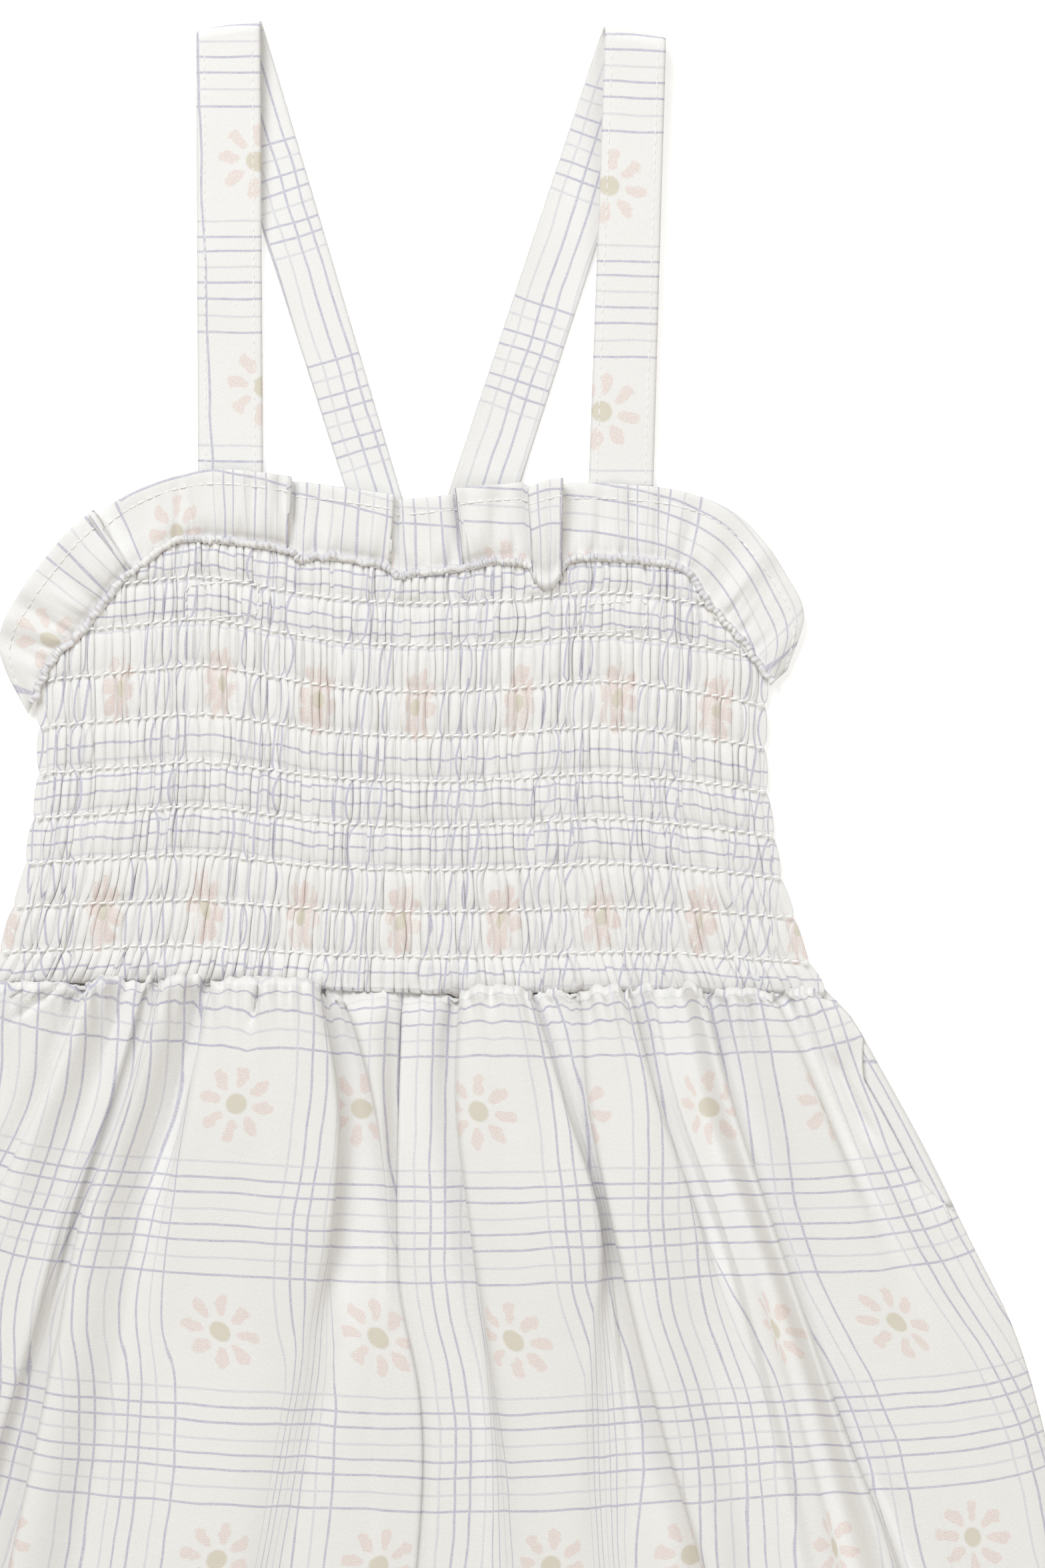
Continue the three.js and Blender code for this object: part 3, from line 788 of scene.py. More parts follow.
def from_daisy(across):
    """Distance from the middle of the nearest daisy, one way."""
    return ((across / REPEAT + 0.5).maths("FRACT") - 0.5) * REPEAT


def printed_cotton(settings, name, gathered):
    """Cotton with the check and the daisies, on the piece's own cloth millimetres.

    Gathers crowd a daisy's petals together into streaks, so there they are wider, deeper and darker.
    """
    line_half = 0.36 if gathered else LINE_HALF
    petal_width = 1.9 if gathered else 0.95
    petal_middle, petal_half = (6.6, 4.5) if gathered else (7.5, 3.3)
    centre_radius = 3.0 if gathered else 3.15
    petal_depth = 1.0 if gathered else 0.87
    shade = 0.96 if gathered else 1.0
    recipe = Recipe(name, 0.88, sheen=0.12)
    uv = recipe.node("ShaderNodeUVMap", {"uv_map": "cloth"}, {})
    wobble_u, wobble_v = recipe.first_two("ShaderNodeSeparateColor", recipe.noise(uv, 0.055, 1.0, 1))
    flat_u, flat_v = recipe.first_two("ShaderNodeSeparateXYZ", uv)
    u = flat_u + (wobble_u - 0.5) * WOBBLE
    v = flat_v + (wobble_v - 0.5) * WOBBLE
    grain = recipe.noise(uv, 2.6)
    patchy = recipe.noise(uv, 0.35)

    # Check, unevenly printed
    ink = check_lines(u, line_half).maths("MAXIMUM", check_lines(v))
    worn = ((grain - 0.36) * 5.0).clamped() * 0.45 + 0.55
    ink = ink * worn * (patchy * 0.7 + 0.55)

    # Daisies: where a point lies along the nearest petal and across it
    cell_u = from_daisy(u)
    cell_v = from_daisy(v)
    radius = (cell_u * cell_u + cell_v * cell_v).maths("SQRT")
    turn = cell_v.maths("ARCTAN2", cell_u) * (PETALS / (2 * math.pi)) + 100.3 + (patchy - 0.5) * 0.5
    slip = (turn.maths("FRACT") - 0.5) * (2 * math.pi / PETALS)
    along = radius * slip.maths("COSINE")
    across = radius * slip.maths("SINE")
    edge = (grain - 0.5) * 0.55
    length = ((along - petal_middle) / petal_half).maths("ABSOLUTE") ** 2.4
    width = (across / (along * 0.1 + petal_width)).maths("ABSOLUTE") ** 2.4
    petal = ((1.0 - length - width + edge) * 2.6).clamped() * ((grain - 0.3) * 3.6).clamped()
    if gathered:
        streaks = recipe.node("ShaderNodeCombineXYZ", {}, {0: u * 0.5, 1: v * 0.05})
        petal = petal * ((recipe.noise(streaks, 1.0) - 0.31) * 4.5).clamped()
    disc = ((centre_radius - radius + edge) * 1.6).clamped()

    # Colour, from the bare cotton to the daisies' centres
    tone = recipe.noise(uv, 0.03, 3.0)
    fibre = recipe.noise(uv, 1.7, 3.0)
    colour = recipe.mix(((fibre - 0.36) * 3.2).clamped(), rgba(settings.cloth), rgba(settings.cloth, 0.95))
    colour = recipe.mix((tone - 0.35).clamped(), colour, rgba(settings.cloth, 0.975))
    colour = recipe.mix(ink.clamped() * 0.9, colour, rgba(settings.ink))
    colour = recipe.mix(petal * petal_depth, colour, rgba(settings.petal, shade))
    colour = recipe.mix(disc * (grain * 0.5 + 0.6), colour, rgba(settings.centre, shade))
    recipe.feed("Base Color", colour)

    # Weave, slubs and crumples
    warp = (flat_u * WEAVE).maths("SINE")
    weft = (flat_v * WEAVE).maths("SINE")
    slub = recipe.noise(uv, 1.3, 3.0)
    crumple = recipe.noise(uv, 0.09, 3.0)
    recipe.bump(warp * 0.015 + weft * 0.015 + slub * 0.06 + crumple * 0.5, 0.55, MM)


def sewing_thread(settings):
    """Twisted thread for stitches."""
    recipe = Recipe("sewing thread", 0.7, sheen=0.2)
    on_object = recipe.node("ShaderNodeTexCoord", {}, {}, 3)
    twist = recipe.noise(on_object, 2400.0)
    recipe.feed("Base Color", recipe.mix(twist, rgba(settings.thread, 0.93), rgba(settings.thread)))
    recipe.bump(twist, 0.4, 0.1 * MM)


def dress(
    piece, nodes=(), material="printed cotton", slot="printed_cotton", points=None, flat=None, **cloth
):
    """Gives a piece its material and the body that it rides on, and hides the frame's parts that it stands
    for.

    A sheet of cloth also gives its points and the width and height that it was cut to, which are not used.
    """
    piece.data.materials.clear()
    piece.data.materials.append(bpy.data.materials[material])
    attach(piece, "root")
    if nodes:
        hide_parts(*nodes)


def at_levels(values, ys):
    """Values given at the levels of a leg, followed down it."""
    return follow(list(zip(LEVELS, values)), ys)


def fold_height(hidden, soft):
    """How far a fold rises, by the cloth hidden in it and its softness."""
    crisp = FOLD_HEIGHT * (1 - np.exp(-np.maximum(hidden, 0) / FOLD_REACH))
    return crisp * (1 - 0.45 * soft)


def above_back(z):
    """Keeps the front of a leg off its back."""
    return np.maximum(z, 2.3 + 0.15 * z)


def leg_columns(folds):
    """How many steps each stretch of cloth between two folds takes."""
    edges = [0, *[fold[2][COUNTED_LEVEL] for fold in folds], COUNTED_SIDE]
    return [max(5, round((end - start) / COLUMN_STEP)) for start, end in zip(edges, edges[1:])]


def pocket_gape(ys):
    """How far the front edge of the pocket stands in from the side seam."""
    share = (ys - POCKET["top"]) / (POCKET["bottom"] - POCKET["top"])
    inside = (share > 0) & (share < 1)
    return np.where(inside, POCKET["gape"] * np.minimum(1, np.sin(math.pi * np.clip(share, 0, 1)) * 1.5), 0)


def leg_surface(side, ys):
    """Places, heights, cloth distance and top across one front leg, a row for each y."""
    leg = LEGS[side]
    folds, tops = leg["folds"], leg["tops"]
    seam = np.where(ys > CROTCH, leg["way"] * follow(LEG_INSIDE, ys), follow(INSEAM, ys))
    inner = seam if side == "right" else seam - CENTRE_LAP
    gape = pocket_gape(ys) if side == "right" else np.zeros_like(ys)
    outer = follow(LEG_SIDE, ys) - gape
    laps = [fold[1] for fold in folds]
    places = [at_levels(fold[2], ys) for fold in folds]
    hidden = [np.maximum(at_levels(fold[3], ys), 0) for fold in folds]
    softs = [np.clip(at_levels(fold[4], ys), 0, 1) for fold in folds]
    edges = [inner, *places, outer]
    gaps = [end - start for start, end in zip(edges, edges[1:])]
    rooms = [np.minimum(before, after) * 0.4 for before, after in zip(gaps, gaps[1:])]
    wanted = [CRISP_REACH + (SOFT_REACH - CRISP_REACH) * soft for soft in softs]
    reaches = [np.minimum(reach, room) for reach, room in zip(wanted, rooms)]
    rises = [fold_height(cloth, soft) for cloth, soft in zip(hidden, softs)]
    fullness = [np.clip(rise / FULL_FOLD, 0, 1) for rise in rises]
    dips = [VALLEY_DEPTH * full * (1 - soft) for full, soft in zip(fullness, softs)]
    passed = at_levels(leg["start"], ys) - inner
    pillow = 1.5 * np.exp(ys / 11)
    flat = 0 * ys
    xs, zs, cloth, top = [], [], [], []
    for i, count in enumerate(leg_columns(folds)):
        is_last = i == len(folds)
        first = places[i - 1] + reaches[i - 1] if i else inner
        last = outer if is_last else places[i] - reaches[i]
        start_rise = rises[i - 1] if i and laps[i - 1] > 0 else flat
        start_dip = dips[i - 1] if i and laps[i - 1] < 0 else flat
        end_rise = rises[i] if not is_last and laps[i] < 0 else flat
        end_dip = dips[i] if not is_last and laps[i] > 0 else flat
        for step in range(1 if i else 0, count + 1 if is_last else count):
            t = step / count
            x = between(first, last, t)
            round_off = 1 - abs(2 * t - 1) ** 4
            swell = np.minimum(1.2, np.abs(last - first) * 0.06) * math.sin(math.pi * t)
            rise = between(start_rise, end_rise, smooth(t))
            start_valley = start_dip * np.exp(-(x - first) / VALLEY_REACH)
            end_valley = end_dip * np.exp(-(last - x) / VALLEY_REACH)
            xs.append(x)
            zs.append(above_back(LEG_PUFF + rise + swell + pillow * round_off - start_valley - end_valley))
            cloth.append(x + passed)
            top.append(tops[i] - 1.5 * (1 - round_off))
        if is_last:
            break
        high_side = above_back(LEG_PUFF + rises[i])
        low_side = above_back(LEG_PUFF - dips[i])
        before, after = (low_side, high_side) if laps[i] > 0 else (high_side, low_side)
        tuck = fullness[i] * (1 - softs[i]) ** 1.5
        edge = FOLD_EDGE
        if laps[i] > 0:
            edge = [(-over, 1 - drop, 1 - share) for over, drop, share in reversed(FOLD_EDGE)]
        for k, (over, drop, share) in enumerate(edge):
            even = k / (len(edge) - 1)
            crisp_place = over * reaches[i] / CRISP_REACH
            soft_place = reaches[i] * (2 * even - 1)
            soft_share = 0.5 * even + 0.5 * smooth(even)
            fall = drop * tuck + smooth(even) * (1 - tuck)
            gone = share * tuck + soft_share * (1 - tuck)
            xs.append(places[i] + crisp_place * tuck + soft_place * (1 - tuck))
            zs.append(between(before, after, fall))
            cloth.append(places[i] - reaches[i] + passed + (hidden[i] + 2 * reaches[i]) * gone)
            top.append(between(tops[i], tops[i + 1], even) - 1.6)
        passed = passed + hidden[i]
    return np.array(xs).T, np.array(zs).T, np.array(cloth).T, np.array(top), inner, outer


def print_lift(side, x, down):
    """How far the gathers draw the print up towards the side, in cloth millimetres."""
    if side == "left":
        return 0.045 * x + 3.6 * np.minimum(x / 108, 1.2) ** 6
    far = x / follow(LEG_SIDE, -down)
    return 0.06 * np.maximum(x - 30, 0) * (down / 155) ** 0.8 + 5.0 * far**12


def creases_at(x, y):
    """Depth of the short creases, and how far they draw the print down."""
    groove, sink = 0.0, 0.0
    for middle, slant, depth, width, top, bottom, drawn in CREASES:
        off = x - middle - slant * y
        ends = smooth((y - bottom) / 9) * smooth((top - y) / 9)
        groove = groove + depth * bell(off, width) * ends
        sink = sink + drawn * np.exp(-np.abs(off) / 2.6) * smooth((y - bottom + 16) / 22)
    return groove, sink


def leg_grid(name, way, points, uv, wall):
    """A sheet of one leg, turned so that its top side faces up on either leg."""
    if way < 0:
        points = points[:, ::-1]
        uv = uv[:, ::-1]
    return cloth_grid(name, points, uv, wall), points


def leg_front(side, settings):
    """The front of one leg, gathered at the waist."""
    way, daisy = LEGS[side]["way"], LEGS[side]["daisy"]
    first_row = -3.4
    gathers = [np.linspace(first_row, -24, 20), np.linspace(-26, CROTCH, 84)]
    lip = len(PUFFED)
    ys = np.concatenate([np.full(lip, -0.2), *gathers, np.linspace(BELOW_CROTCH, HEM, 56)])
    x, z, cloth, top, inner, outer = leg_surface(side, ys)
    top = top + 0.45 * ripple(cloth[0], 0, 6.5, 50, 4) + 0.14 * ripple(cloth[0], 0, 2.8, 50, 14)

    # The tops puff out over the seam, or tuck in under the bodice's edge
    under = window(way * x[0], UNDER_BODICE, 3.0)
    y = np.repeat(ys[:, None], x.shape[1], 1)
    down = -y
    y[lip:] += top * np.exp(ys[lip:, None] / 8)
    full = np.ones_like(y)
    full[lip:] = 1 - under * 0.45 * np.exp((ys[lip:, None] - first_row) / 3.5)
    for row, ((puffed_y, puffed), (tucked_y, tucked)) in enumerate(zip(PUFFED, TUCKED)):
        y[row] = top + puffed_y * (1 - under) + tucked_y * under
        full[row] = puffed * (1 - under) + tucked * under

    # Small gathers and creases
    fine = ripple(cloth, y, 4.6, 60, 11) * np.exp(-down / 8) * 1.1
    longer = ripple(cloth, y, 15, 160, 5) * np.exp(-down / 45) * 0.7
    broad = ripple(cloth, y, 40, 130, 8) * 0.5
    groove, sink = creases_at(way * x, y)
    z = z + fine + longer + broad * smooth(down / 30) - groove

    # Down to the seams at both sides
    to_side = (outer[:, None] - x) / 9.0
    mouth = pocket_gape(ys)[:, None] * 0.35 if side == "right" else 0.0
    z = SIDE_Z + mouth + (z - SIDE_Z - mouth) * np.sqrt(smooth(to_side))
    lower = smooth((-ys[:, None] - 60) / 50)
    seam_width = 2.2 if side == "right" else 6.0 + 7.0 * lower
    seam_z = FRONT_SEAM + (1.2 + 0.5 * lower if side == "right" else 0.4)
    seam_z = between(seam_z, INSEAM_Z, smooth((CROTCH + 14 - ys[:, None]) / 16))
    to_seam = (x - inner[:, None]) / seam_width
    z = np.where(to_seam < 1, between(seam_z, z, smooth(to_seam)), z)
    z = between(FRONT_LOWEST, z, full)

    # The print, drawn up a little by the gathers
    length = down * 0.9866 - 1.1 + print_lift(side, x, down) + top * 0.3 * np.exp(-down / 20)
    curl = np.linspace(5.2, 0.4, lip)[:, None]
    length[:lip] = length[lip] - 3.0 - curl * 0.6
    uv = np.dstack([way * (cloth - daisy), length - FIRST_DAISY_ROW - sink])
    piece, points = leg_grid(f"front_leg_{side}", way, np.dstack([way * x, y, z]), uv, settings.wall)
    dress(
        piece,
        [f"leg_front_{side}"],
        points=points,
        flat=CUT["leg front"],
        held="gathered",
        rests_on=[f"back_leg_{side}"],
    )


def leg_back(side):
    """The back of one leg, flat on the surface."""
    way = LEGS[side]["way"]
    ys = np.concatenate([np.linspace(-0.15, CROTCH, 60), np.linspace(BELOW_CROTCH, HEM, 40)])
    seam = np.where(ys > CROTCH, way * follow(LEG_INSIDE, ys), follow(INSEAM, ys)) + SEAM / 2
    outer = follow(LEG_SIDE, ys)
    share = np.linspace(0, 1, 50)
    x = seam[:, None] + (outer - seam)[:, None] * share
    y = np.repeat(ys[:, None], len(share), 1)
    uv = np.dstack([way * x * 1.5 + 20, -y - FIRST_DAISY_ROW])
    points = np.dstack([way * x, y, np.full_like(x, BACK_TOP)])
    piece, points = leg_grid(f"back_leg_{side}", way, points, uv, BACK_WALL * MM)
    dress(piece, [f"leg_back_{side}"], points=points, flat=CUT["leg back"], held="laid")


def pocket(settings):
    """The pocket's bag, seen in the gaping side seam."""
    ys = np.linspace(POCKET["top"] - 2, POCKET["bottom"] + 3, 24)
    share = np.linspace(0, 1, 14)
    x = follow(LEG_SIDE, ys)[:, None] - POCKET_DEPTH * (1 - share)
    y = np.repeat(ys[:, None], len(share), 1)
    z = 2.3 - 0.6 * share**4 + 0 * x
    points = np.dstack([x, y, z])
    uv = np.dstack([18 + POCKET_DEPTH * (1 - share) + 0 * x, -y * 0.7 - 30])
    piece = cloth_grid("pocket_facing", points, uv, settings.wall)
    dress(
        piece,
        ["pocket_bag"],
        slot="pocketing",
        points=points,
        flat=CUT["pocket"],
        held="laid",
        rests_on=["back_leg_right"],
    )


def bodice_top(x):
    """Height where the front and the ruffle meet."""
    return follow(TOP_EDGE, x) - 0.4


def bodice_bottom(x):
    """The lower edge, which dips where it is tucked under."""
    return follow(BODICE_BOTTOM, x) - 1.4 * (1 - window(x, UNDER_BODICE, 3.0))


def shirring_line(line, x, top):
    """Height of a shirring line. Line 0 is the top edge and the last is the waist."""
    if line == 0:
        return top
    if line > len(SHIRRING):
        return bodice_bottom(x)
    y, wave = SHIRRING[line - 1]
    return np.minimum(y + wave * follow(ROW_WAVE, x), top - 0.25 * line)


def per_rib(values, last=0.0):
    """One value for each rib, repeated for the rib's points."""
    return np.append(np.repeat(values, len(RIB)), last)


def bodice_print(x, y):
    """Cloth millimetres of a point of the bodice, whose print lies the other way up."""
    level = y - np.interp(y, *zip(*PRINT_WAVE)) * follow(ROW_WAVE, x)
    across = GATHER * (x - 0.2 - 4.4 * (level - 18.2) / 59.6)
    return across, (77.8 - level) * 1.047


def uneven_ribs():
    """Each band's ribs: their places and middles, as shares from -1 to 1, and how each one varies."""
    draw = np.random.default_rng(21)
    at_points = np.array([at for at, _, _ in RIB])
    shared = draw.uniform(-0.16, 0.16, RIBS - 1)
    bands = []
    for _ in range(len(SHIRRING) + 1):
        inner = np.arange(1, RIBS) + shared + draw.uniform(-0.3, 0.3, RIBS - 1)
        edges = np.concatenate([[0], inner, [RIBS]]) / RIBS * 2 - 1
        across = np.append((edges[:-1, None] + np.diff(edges)[:, None] * at_points).ravel(), 1.0)
        middle = per_rib((edges[:-1] + edges[1:]) / 2, 1.0)
        crest = per_rib(draw.uniform(0.6, 1.3, RIBS))
        valley = per_rib(draw.uniform(0.0, 0.55, RIBS))
        sway = per_rib(np.clip(draw.normal(0, 0.42, RIBS), -0.8, 0.8))
        slip = per_rib(draw.uniform(-2.9, 2.9, RIBS))
        drop = per_rib(draw.uniform(-0.6, 0.6, RIBS))
        bands.append((across, middle, crest, valley, sway, slip, drop))
    return bands


def smocked_grid():
    """Points and cloth millimetres of the ribs that puff up between the shirring lines."""
    bands = uneven_ribs()
    cloth_share = np.append(np.tile([share for _, share, _ in RIB], RIBS), 0)
    profile = np.append(np.tile([height for _, _, height in RIB], RIBS), 0)
    cloth_of_rib = GATHER * 2 * RIB_HALF / RIBS
    points, uv = [], []
    for number, (across, middle, crest, valley, sway, slip, drop) in enumerate(bands):
        is_last = number == len(bands) - 1
        ribbed = profile * (1 - valley) + valley * 0.5
        for row in range(ROWS_IN_BAND + 1 if is_last else ROWS_IN_BAND):
            t = row / ROWS_IN_BAND

            # Ribs run on into those of the next band
            other = number - 1 if t < 0.5 else number + 1
            beside = bands[min(max(other, 0), len(bands) - 1)][0]
            blend = 0.5 * (1 - smooth(min(t, 1 - t) * 5))
            share = across * (1 - blend) + beside * blend

            # Place of the row between its two lines
            guess = share * BODICE_HALF
            top = bodice_top(guess)
            upper = shirring_line(number, guess, top)
            lower = shirring_line(number + 1, guess, top - 0.2)
            y = between(upper, lower, t)
            x = share * follow(BODICE_SIDE, np.minimum(y, SIDE_TOP))

            # Height, with the puff between the lines
            tall = smooth((upper - lower) / 6.0)
            puff = math.sin(math.pi * t) ** 0.5 if 0 < t < 1 else 0.0
            if is_last:
                puff = max(puff, smooth((t - 0.5) * 2) * 0.85)
            edge = smooth((1 - np.abs(share)) * 16)
            rise = RIB_HEIGHT * ribbed * crest * (0.5 + 0.5 * puff * tall) + 0.55 * puff * tall
            z = BODICE_TOP_Z + rise * edge
            if is_last:
                tucked = 1 - window(x, UNDER_BODICE, 4.0)
                z = z - tucked * (z - 2.9) * smooth((t - 0.72) * 3.8)

            # Uneven ribs, and the print gathered into them
            x = x + math.sin(math.pi * t) * sway * edge + np.sign(share) * (1 - edge) * puff * 0.9
            y = y + 0.25 * per_rib(np.sin(np.arange(RIBS) * 2.1 + number)) * (1 - puff)
            a, b = bodice_print(x, y)
            on_rib = GATHER * (share - middle) * RIB_HALF
            a = a - on_rib + (cloth_share - 0.5) * cloth_of_rib + slip * puff
            points.append(np.stack([x, y, z], 1))
            uv.append(np.stack([-a, -b - drop * puff], 1))
    return np.array(points), np.array(uv)


def bodice_front(settings):
    """The smocked front."""
    points, uv = smocked_grid()
    piece = cloth_grid("smocked_front", points, uv, settings.wall)
    dress(
        piece,
        ["bodice_front"],
        material="gathered print",
        points=points,
        flat=CUT["bodice front"],
        held="gathered",
        rests_on=["smocked_back"],
        with_pieces=["rolled_edge"],
    )
    return points


def bodice_back():
    """The back of the bodice, flat under the front."""
    share = np.linspace(-1, 1, 60)
    top = np.minimum(BACK_NECK, bodice_top(share * BODICE_HALF) - 0.6)
    points = []
    for t in np.linspace(0, 1, 34):
        y = between(top, SEAM / 2, t)
        x = share * follow(BODICE_SIDE, np.minimum(y, SIDE_TOP))
        points.append(np.stack([x, y, np.full_like(x, BACK_TOP)], 1))
    points = np.array(points)
    uv = np.dstack([points[..., 0] * 1.15, -points[..., 1]])
    piece = cloth_grid("smocked_back", points, uv, BACK_WALL * MM)
    dress(piece, ["bodice_back"], points=points, flat=CUT["bodice back"], held="laid")


def shirring_runs(points):
    """Where the shirring threads run on the smocked front."""
    runs = []
    for line in range(1, len(SHIRRING) + 1):
        steps = points[line * ROWS_IN_BAND][:: len(RIB)]
        top = bodice_top(steps[:, 0])
        kept = steps[shirring_line(line, steps[:, 0], top) < top - 0.4 * line]
        x = kept[:, 0]
        sag = 0.25 * ripple(x, 0, 4.5, 50, line + 40)
        z = BODICE_TOP_Z + 1.5 + 0.2 * ripple(x, 0, 5, 50, line)
        runs.append(np.stack([x, kept[:, 1] + sag, z], 1))
    return runs


def strap_boxes():
    """The boxes of stitches that hold the strap ends, each a little slanted."""
    boxes = []
    for left, right, low, high in STRAP_BOXES:
        corners = [(left, low), (right, low), (right, high), (left, high), (left, low)]
        boxes.append([(x, y + 0.08 * (x - left), BODICE_TOP_Z + 1.9) for x, y in corners])
    return boxes


def ruffle_stations():
    """Steps along the ruffle: place along the top edge, hem's lift, rise of the fold, and cloth passed."""
    stations = []
    for number, panel in enumerate(RUFFLE_PANELS):
        _, start, end, lift, end_lift, rise, end_rise, cloth, end_cloth = panel
        count = max(8, round(end_cloth - cloth))
        for step in range(count + 1):
            t = step / count
            arch = math.sin(math.pi * t)
            x = between(start, end, t)
            up = between(lift, end_lift, t) + (0.6 * arch if end - start < 12 else 0.0)
            high = between(rise, end_rise, smooth(t)) + 0.9 * arch**0.7
            stations.append((x, up, high, between(cloth, end_cloth, t)))
        if number + 1 == len(RUFFLE_PANELS):
            break

        # The fold between this panel and the next
        _, next_start, _, next_lift, _, next_rise, _, next_cloth, _ = RUFFLE_PANELS[number + 1]
        tuck = -1.6 if end_rise > next_rise else 1.6
        for t in (0.12, 0.35, 0.6, 0.85):
            x = between(end, next_start, t) + tuck * math.sin(math.pi * t)
            up = between(end_lift, next_lift, t) - 0.5
            high = between(end_rise, next_rise, smooth(t)) - 0.3
            stations.append((x, up, high, between(end_cloth, next_cloth, t)))
    return (np.array(column) for column in zip(*stations))


def ruffle_depth(x):
    """Depth of the first strong check line below the ruffle's hem, which slants across it."""
    return np.maximum(0.127 * x + 6.98, np.where(x > -79, 0.5, -1.4))


def ruffle(settings):
    """The ruffle, sewn on under the bodice's top edge and gathered there."""
    xs, lifts, rises, passed = ruffle_stations()
    seam_y = follow(TOP_EDGE, xs)
    hem_x, hem_y, hem_z = (follow(RUFFLE_HEM, xs, column) for column in (1, 2, 3))
    flap = window(xs, FLAP, 0.9)
    out = unit(np.stack([hem_x - xs, hem_y - seam_y], 1))
    height = np.hypot(hem_x - xs, hem_y - seam_y)
    hem, middle, root = np.linspace(1, 0.95, 3), np.linspace(0.9, 0.2, 14), np.linspace(0.15, -0.06, 8)
    shares = np.concatenate([hem, middle, root])
    points, uv = [], []
    for share in shares:
        above = max(share, 0)
        x = xs + out[:, 0] * share * (height + lifts)
        y = seam_y + out[:, 1] * share * (height + lifts)
        gather = ripple(passed, share * 20, 4.4, 60, 3) * math.exp(-above / 0.32)
        wave = ripple(passed, share * 20, 15, 90, 4) * 0.8 * smooth(share * 2.4 + 0.1)
        sway = ripple(passed, share * 20, 9, 70, 9) * 0.9 * (1 - above)

        # Where the ruffle falls forward over the top edge
        fall = flap * smooth((0.4 - share) / 0.46)
        y = y - 3.9 * fall * (1 - 0.25 * np.clip(((x - FLAP_MIDDLE) / 6) ** 2, 0, 1))
        x = x - flap * (x - FLAP_MIDDLE) * 0.2 * smooth(1.1 - share)

        # Height over the surface
        flat_z = 4.3 + (hem_z + 0.6 - 4.3) * above
        lift = rises * smooth(0.35 + share * 1.2)
        puff = 0.4 * bell(share - 0.26, 0.16)
        turned = 0.14 * smooth((share - 0.79) / 0.02) - 0.3 * smooth((share - 0.95) / 0.05)
        z = between(RUFFLE_ROOT, flat_z + gather + wave + lift + puff + turned, smooth(share / 0.16))
        over = 6.9 + 0.5 * gather - 2.4 * smooth(-share / 0.06) * (1 - smooth(share))
        z = z * (1 - fall) + np.maximum(z, over) * fall
        points.append(np.stack([x, y, np.maximum(z, 2.3)], 1))
        depth = (1 - share) * (height + lifts) - ruffle_depth(x) + 0.756 * REPEAT
        uv.append(np.stack([passed + sway, depth], 1))
    points = np.array(points)
    piece = cloth_grid("gathered_ruffle", points, np.array(uv), settings.wall)
    dress(
        piece,
        ["ruffle"],
        points=points,
        flat=CUT["ruffle"],
        held="gathered",
        rests_on=["smocked_front"],
    )
    return points[int(np.argmin(np.abs(shares - HEM_STITCH)))]


def rolled_edge():
    """The bodice's narrow rolled top edge, crimped by the gathers."""
    xs = np.linspace(TOP_EDGE[0][0], TOP_EDGE[-1][0], 1100)
    ys = follow(TOP_EDGE, xs)
    length = np.concatenate([[0], np.cumsum(np.hypot(np.diff(xs), np.diff(ys)))])
    even = np.linspace(0, length[-1], 1000)
    line = np.stack([np.interp(even, length, xs), np.interp(even, length, ys)], 1)
    ahead = unit(np.gradient(line, axis=0))
    side = np.stack([-ahead[:, 1], ahead[:, 0]], 1)
    crimp = ripple(even, 0, 2.2, 40, 31) + 0.6 * ripple(even, 0, 5, 40, 13)
    wander = 0.4 * ripple(even, 0, 7, 40, 23) + 0.22 * ripple(even, 0, 2.6, 40, 29)
    radius = np.maximum(0.95 + 0.2 * crimp, 0.45)
    points = []
    for turn in np.linspace(-0.42 * math.pi, 1.42 * math.pi, 11):
        reach = radius * math.cos(turn) + wander
        z = 4.7 + radius * math.sin(turn) * 1.1 + 0.25 * crimp
        points.append(np.column_stack([line + side * reach[:, None], z]))
    around = np.linspace(0, 6, len(points))[:, None] + 0 * even
    uv = np.dstack([0 * around + even * GATHER, 16 + around * 0.2])
    dress(cloth_grid("rolled_edge", np.array(points), uv, 0.35 * MM))


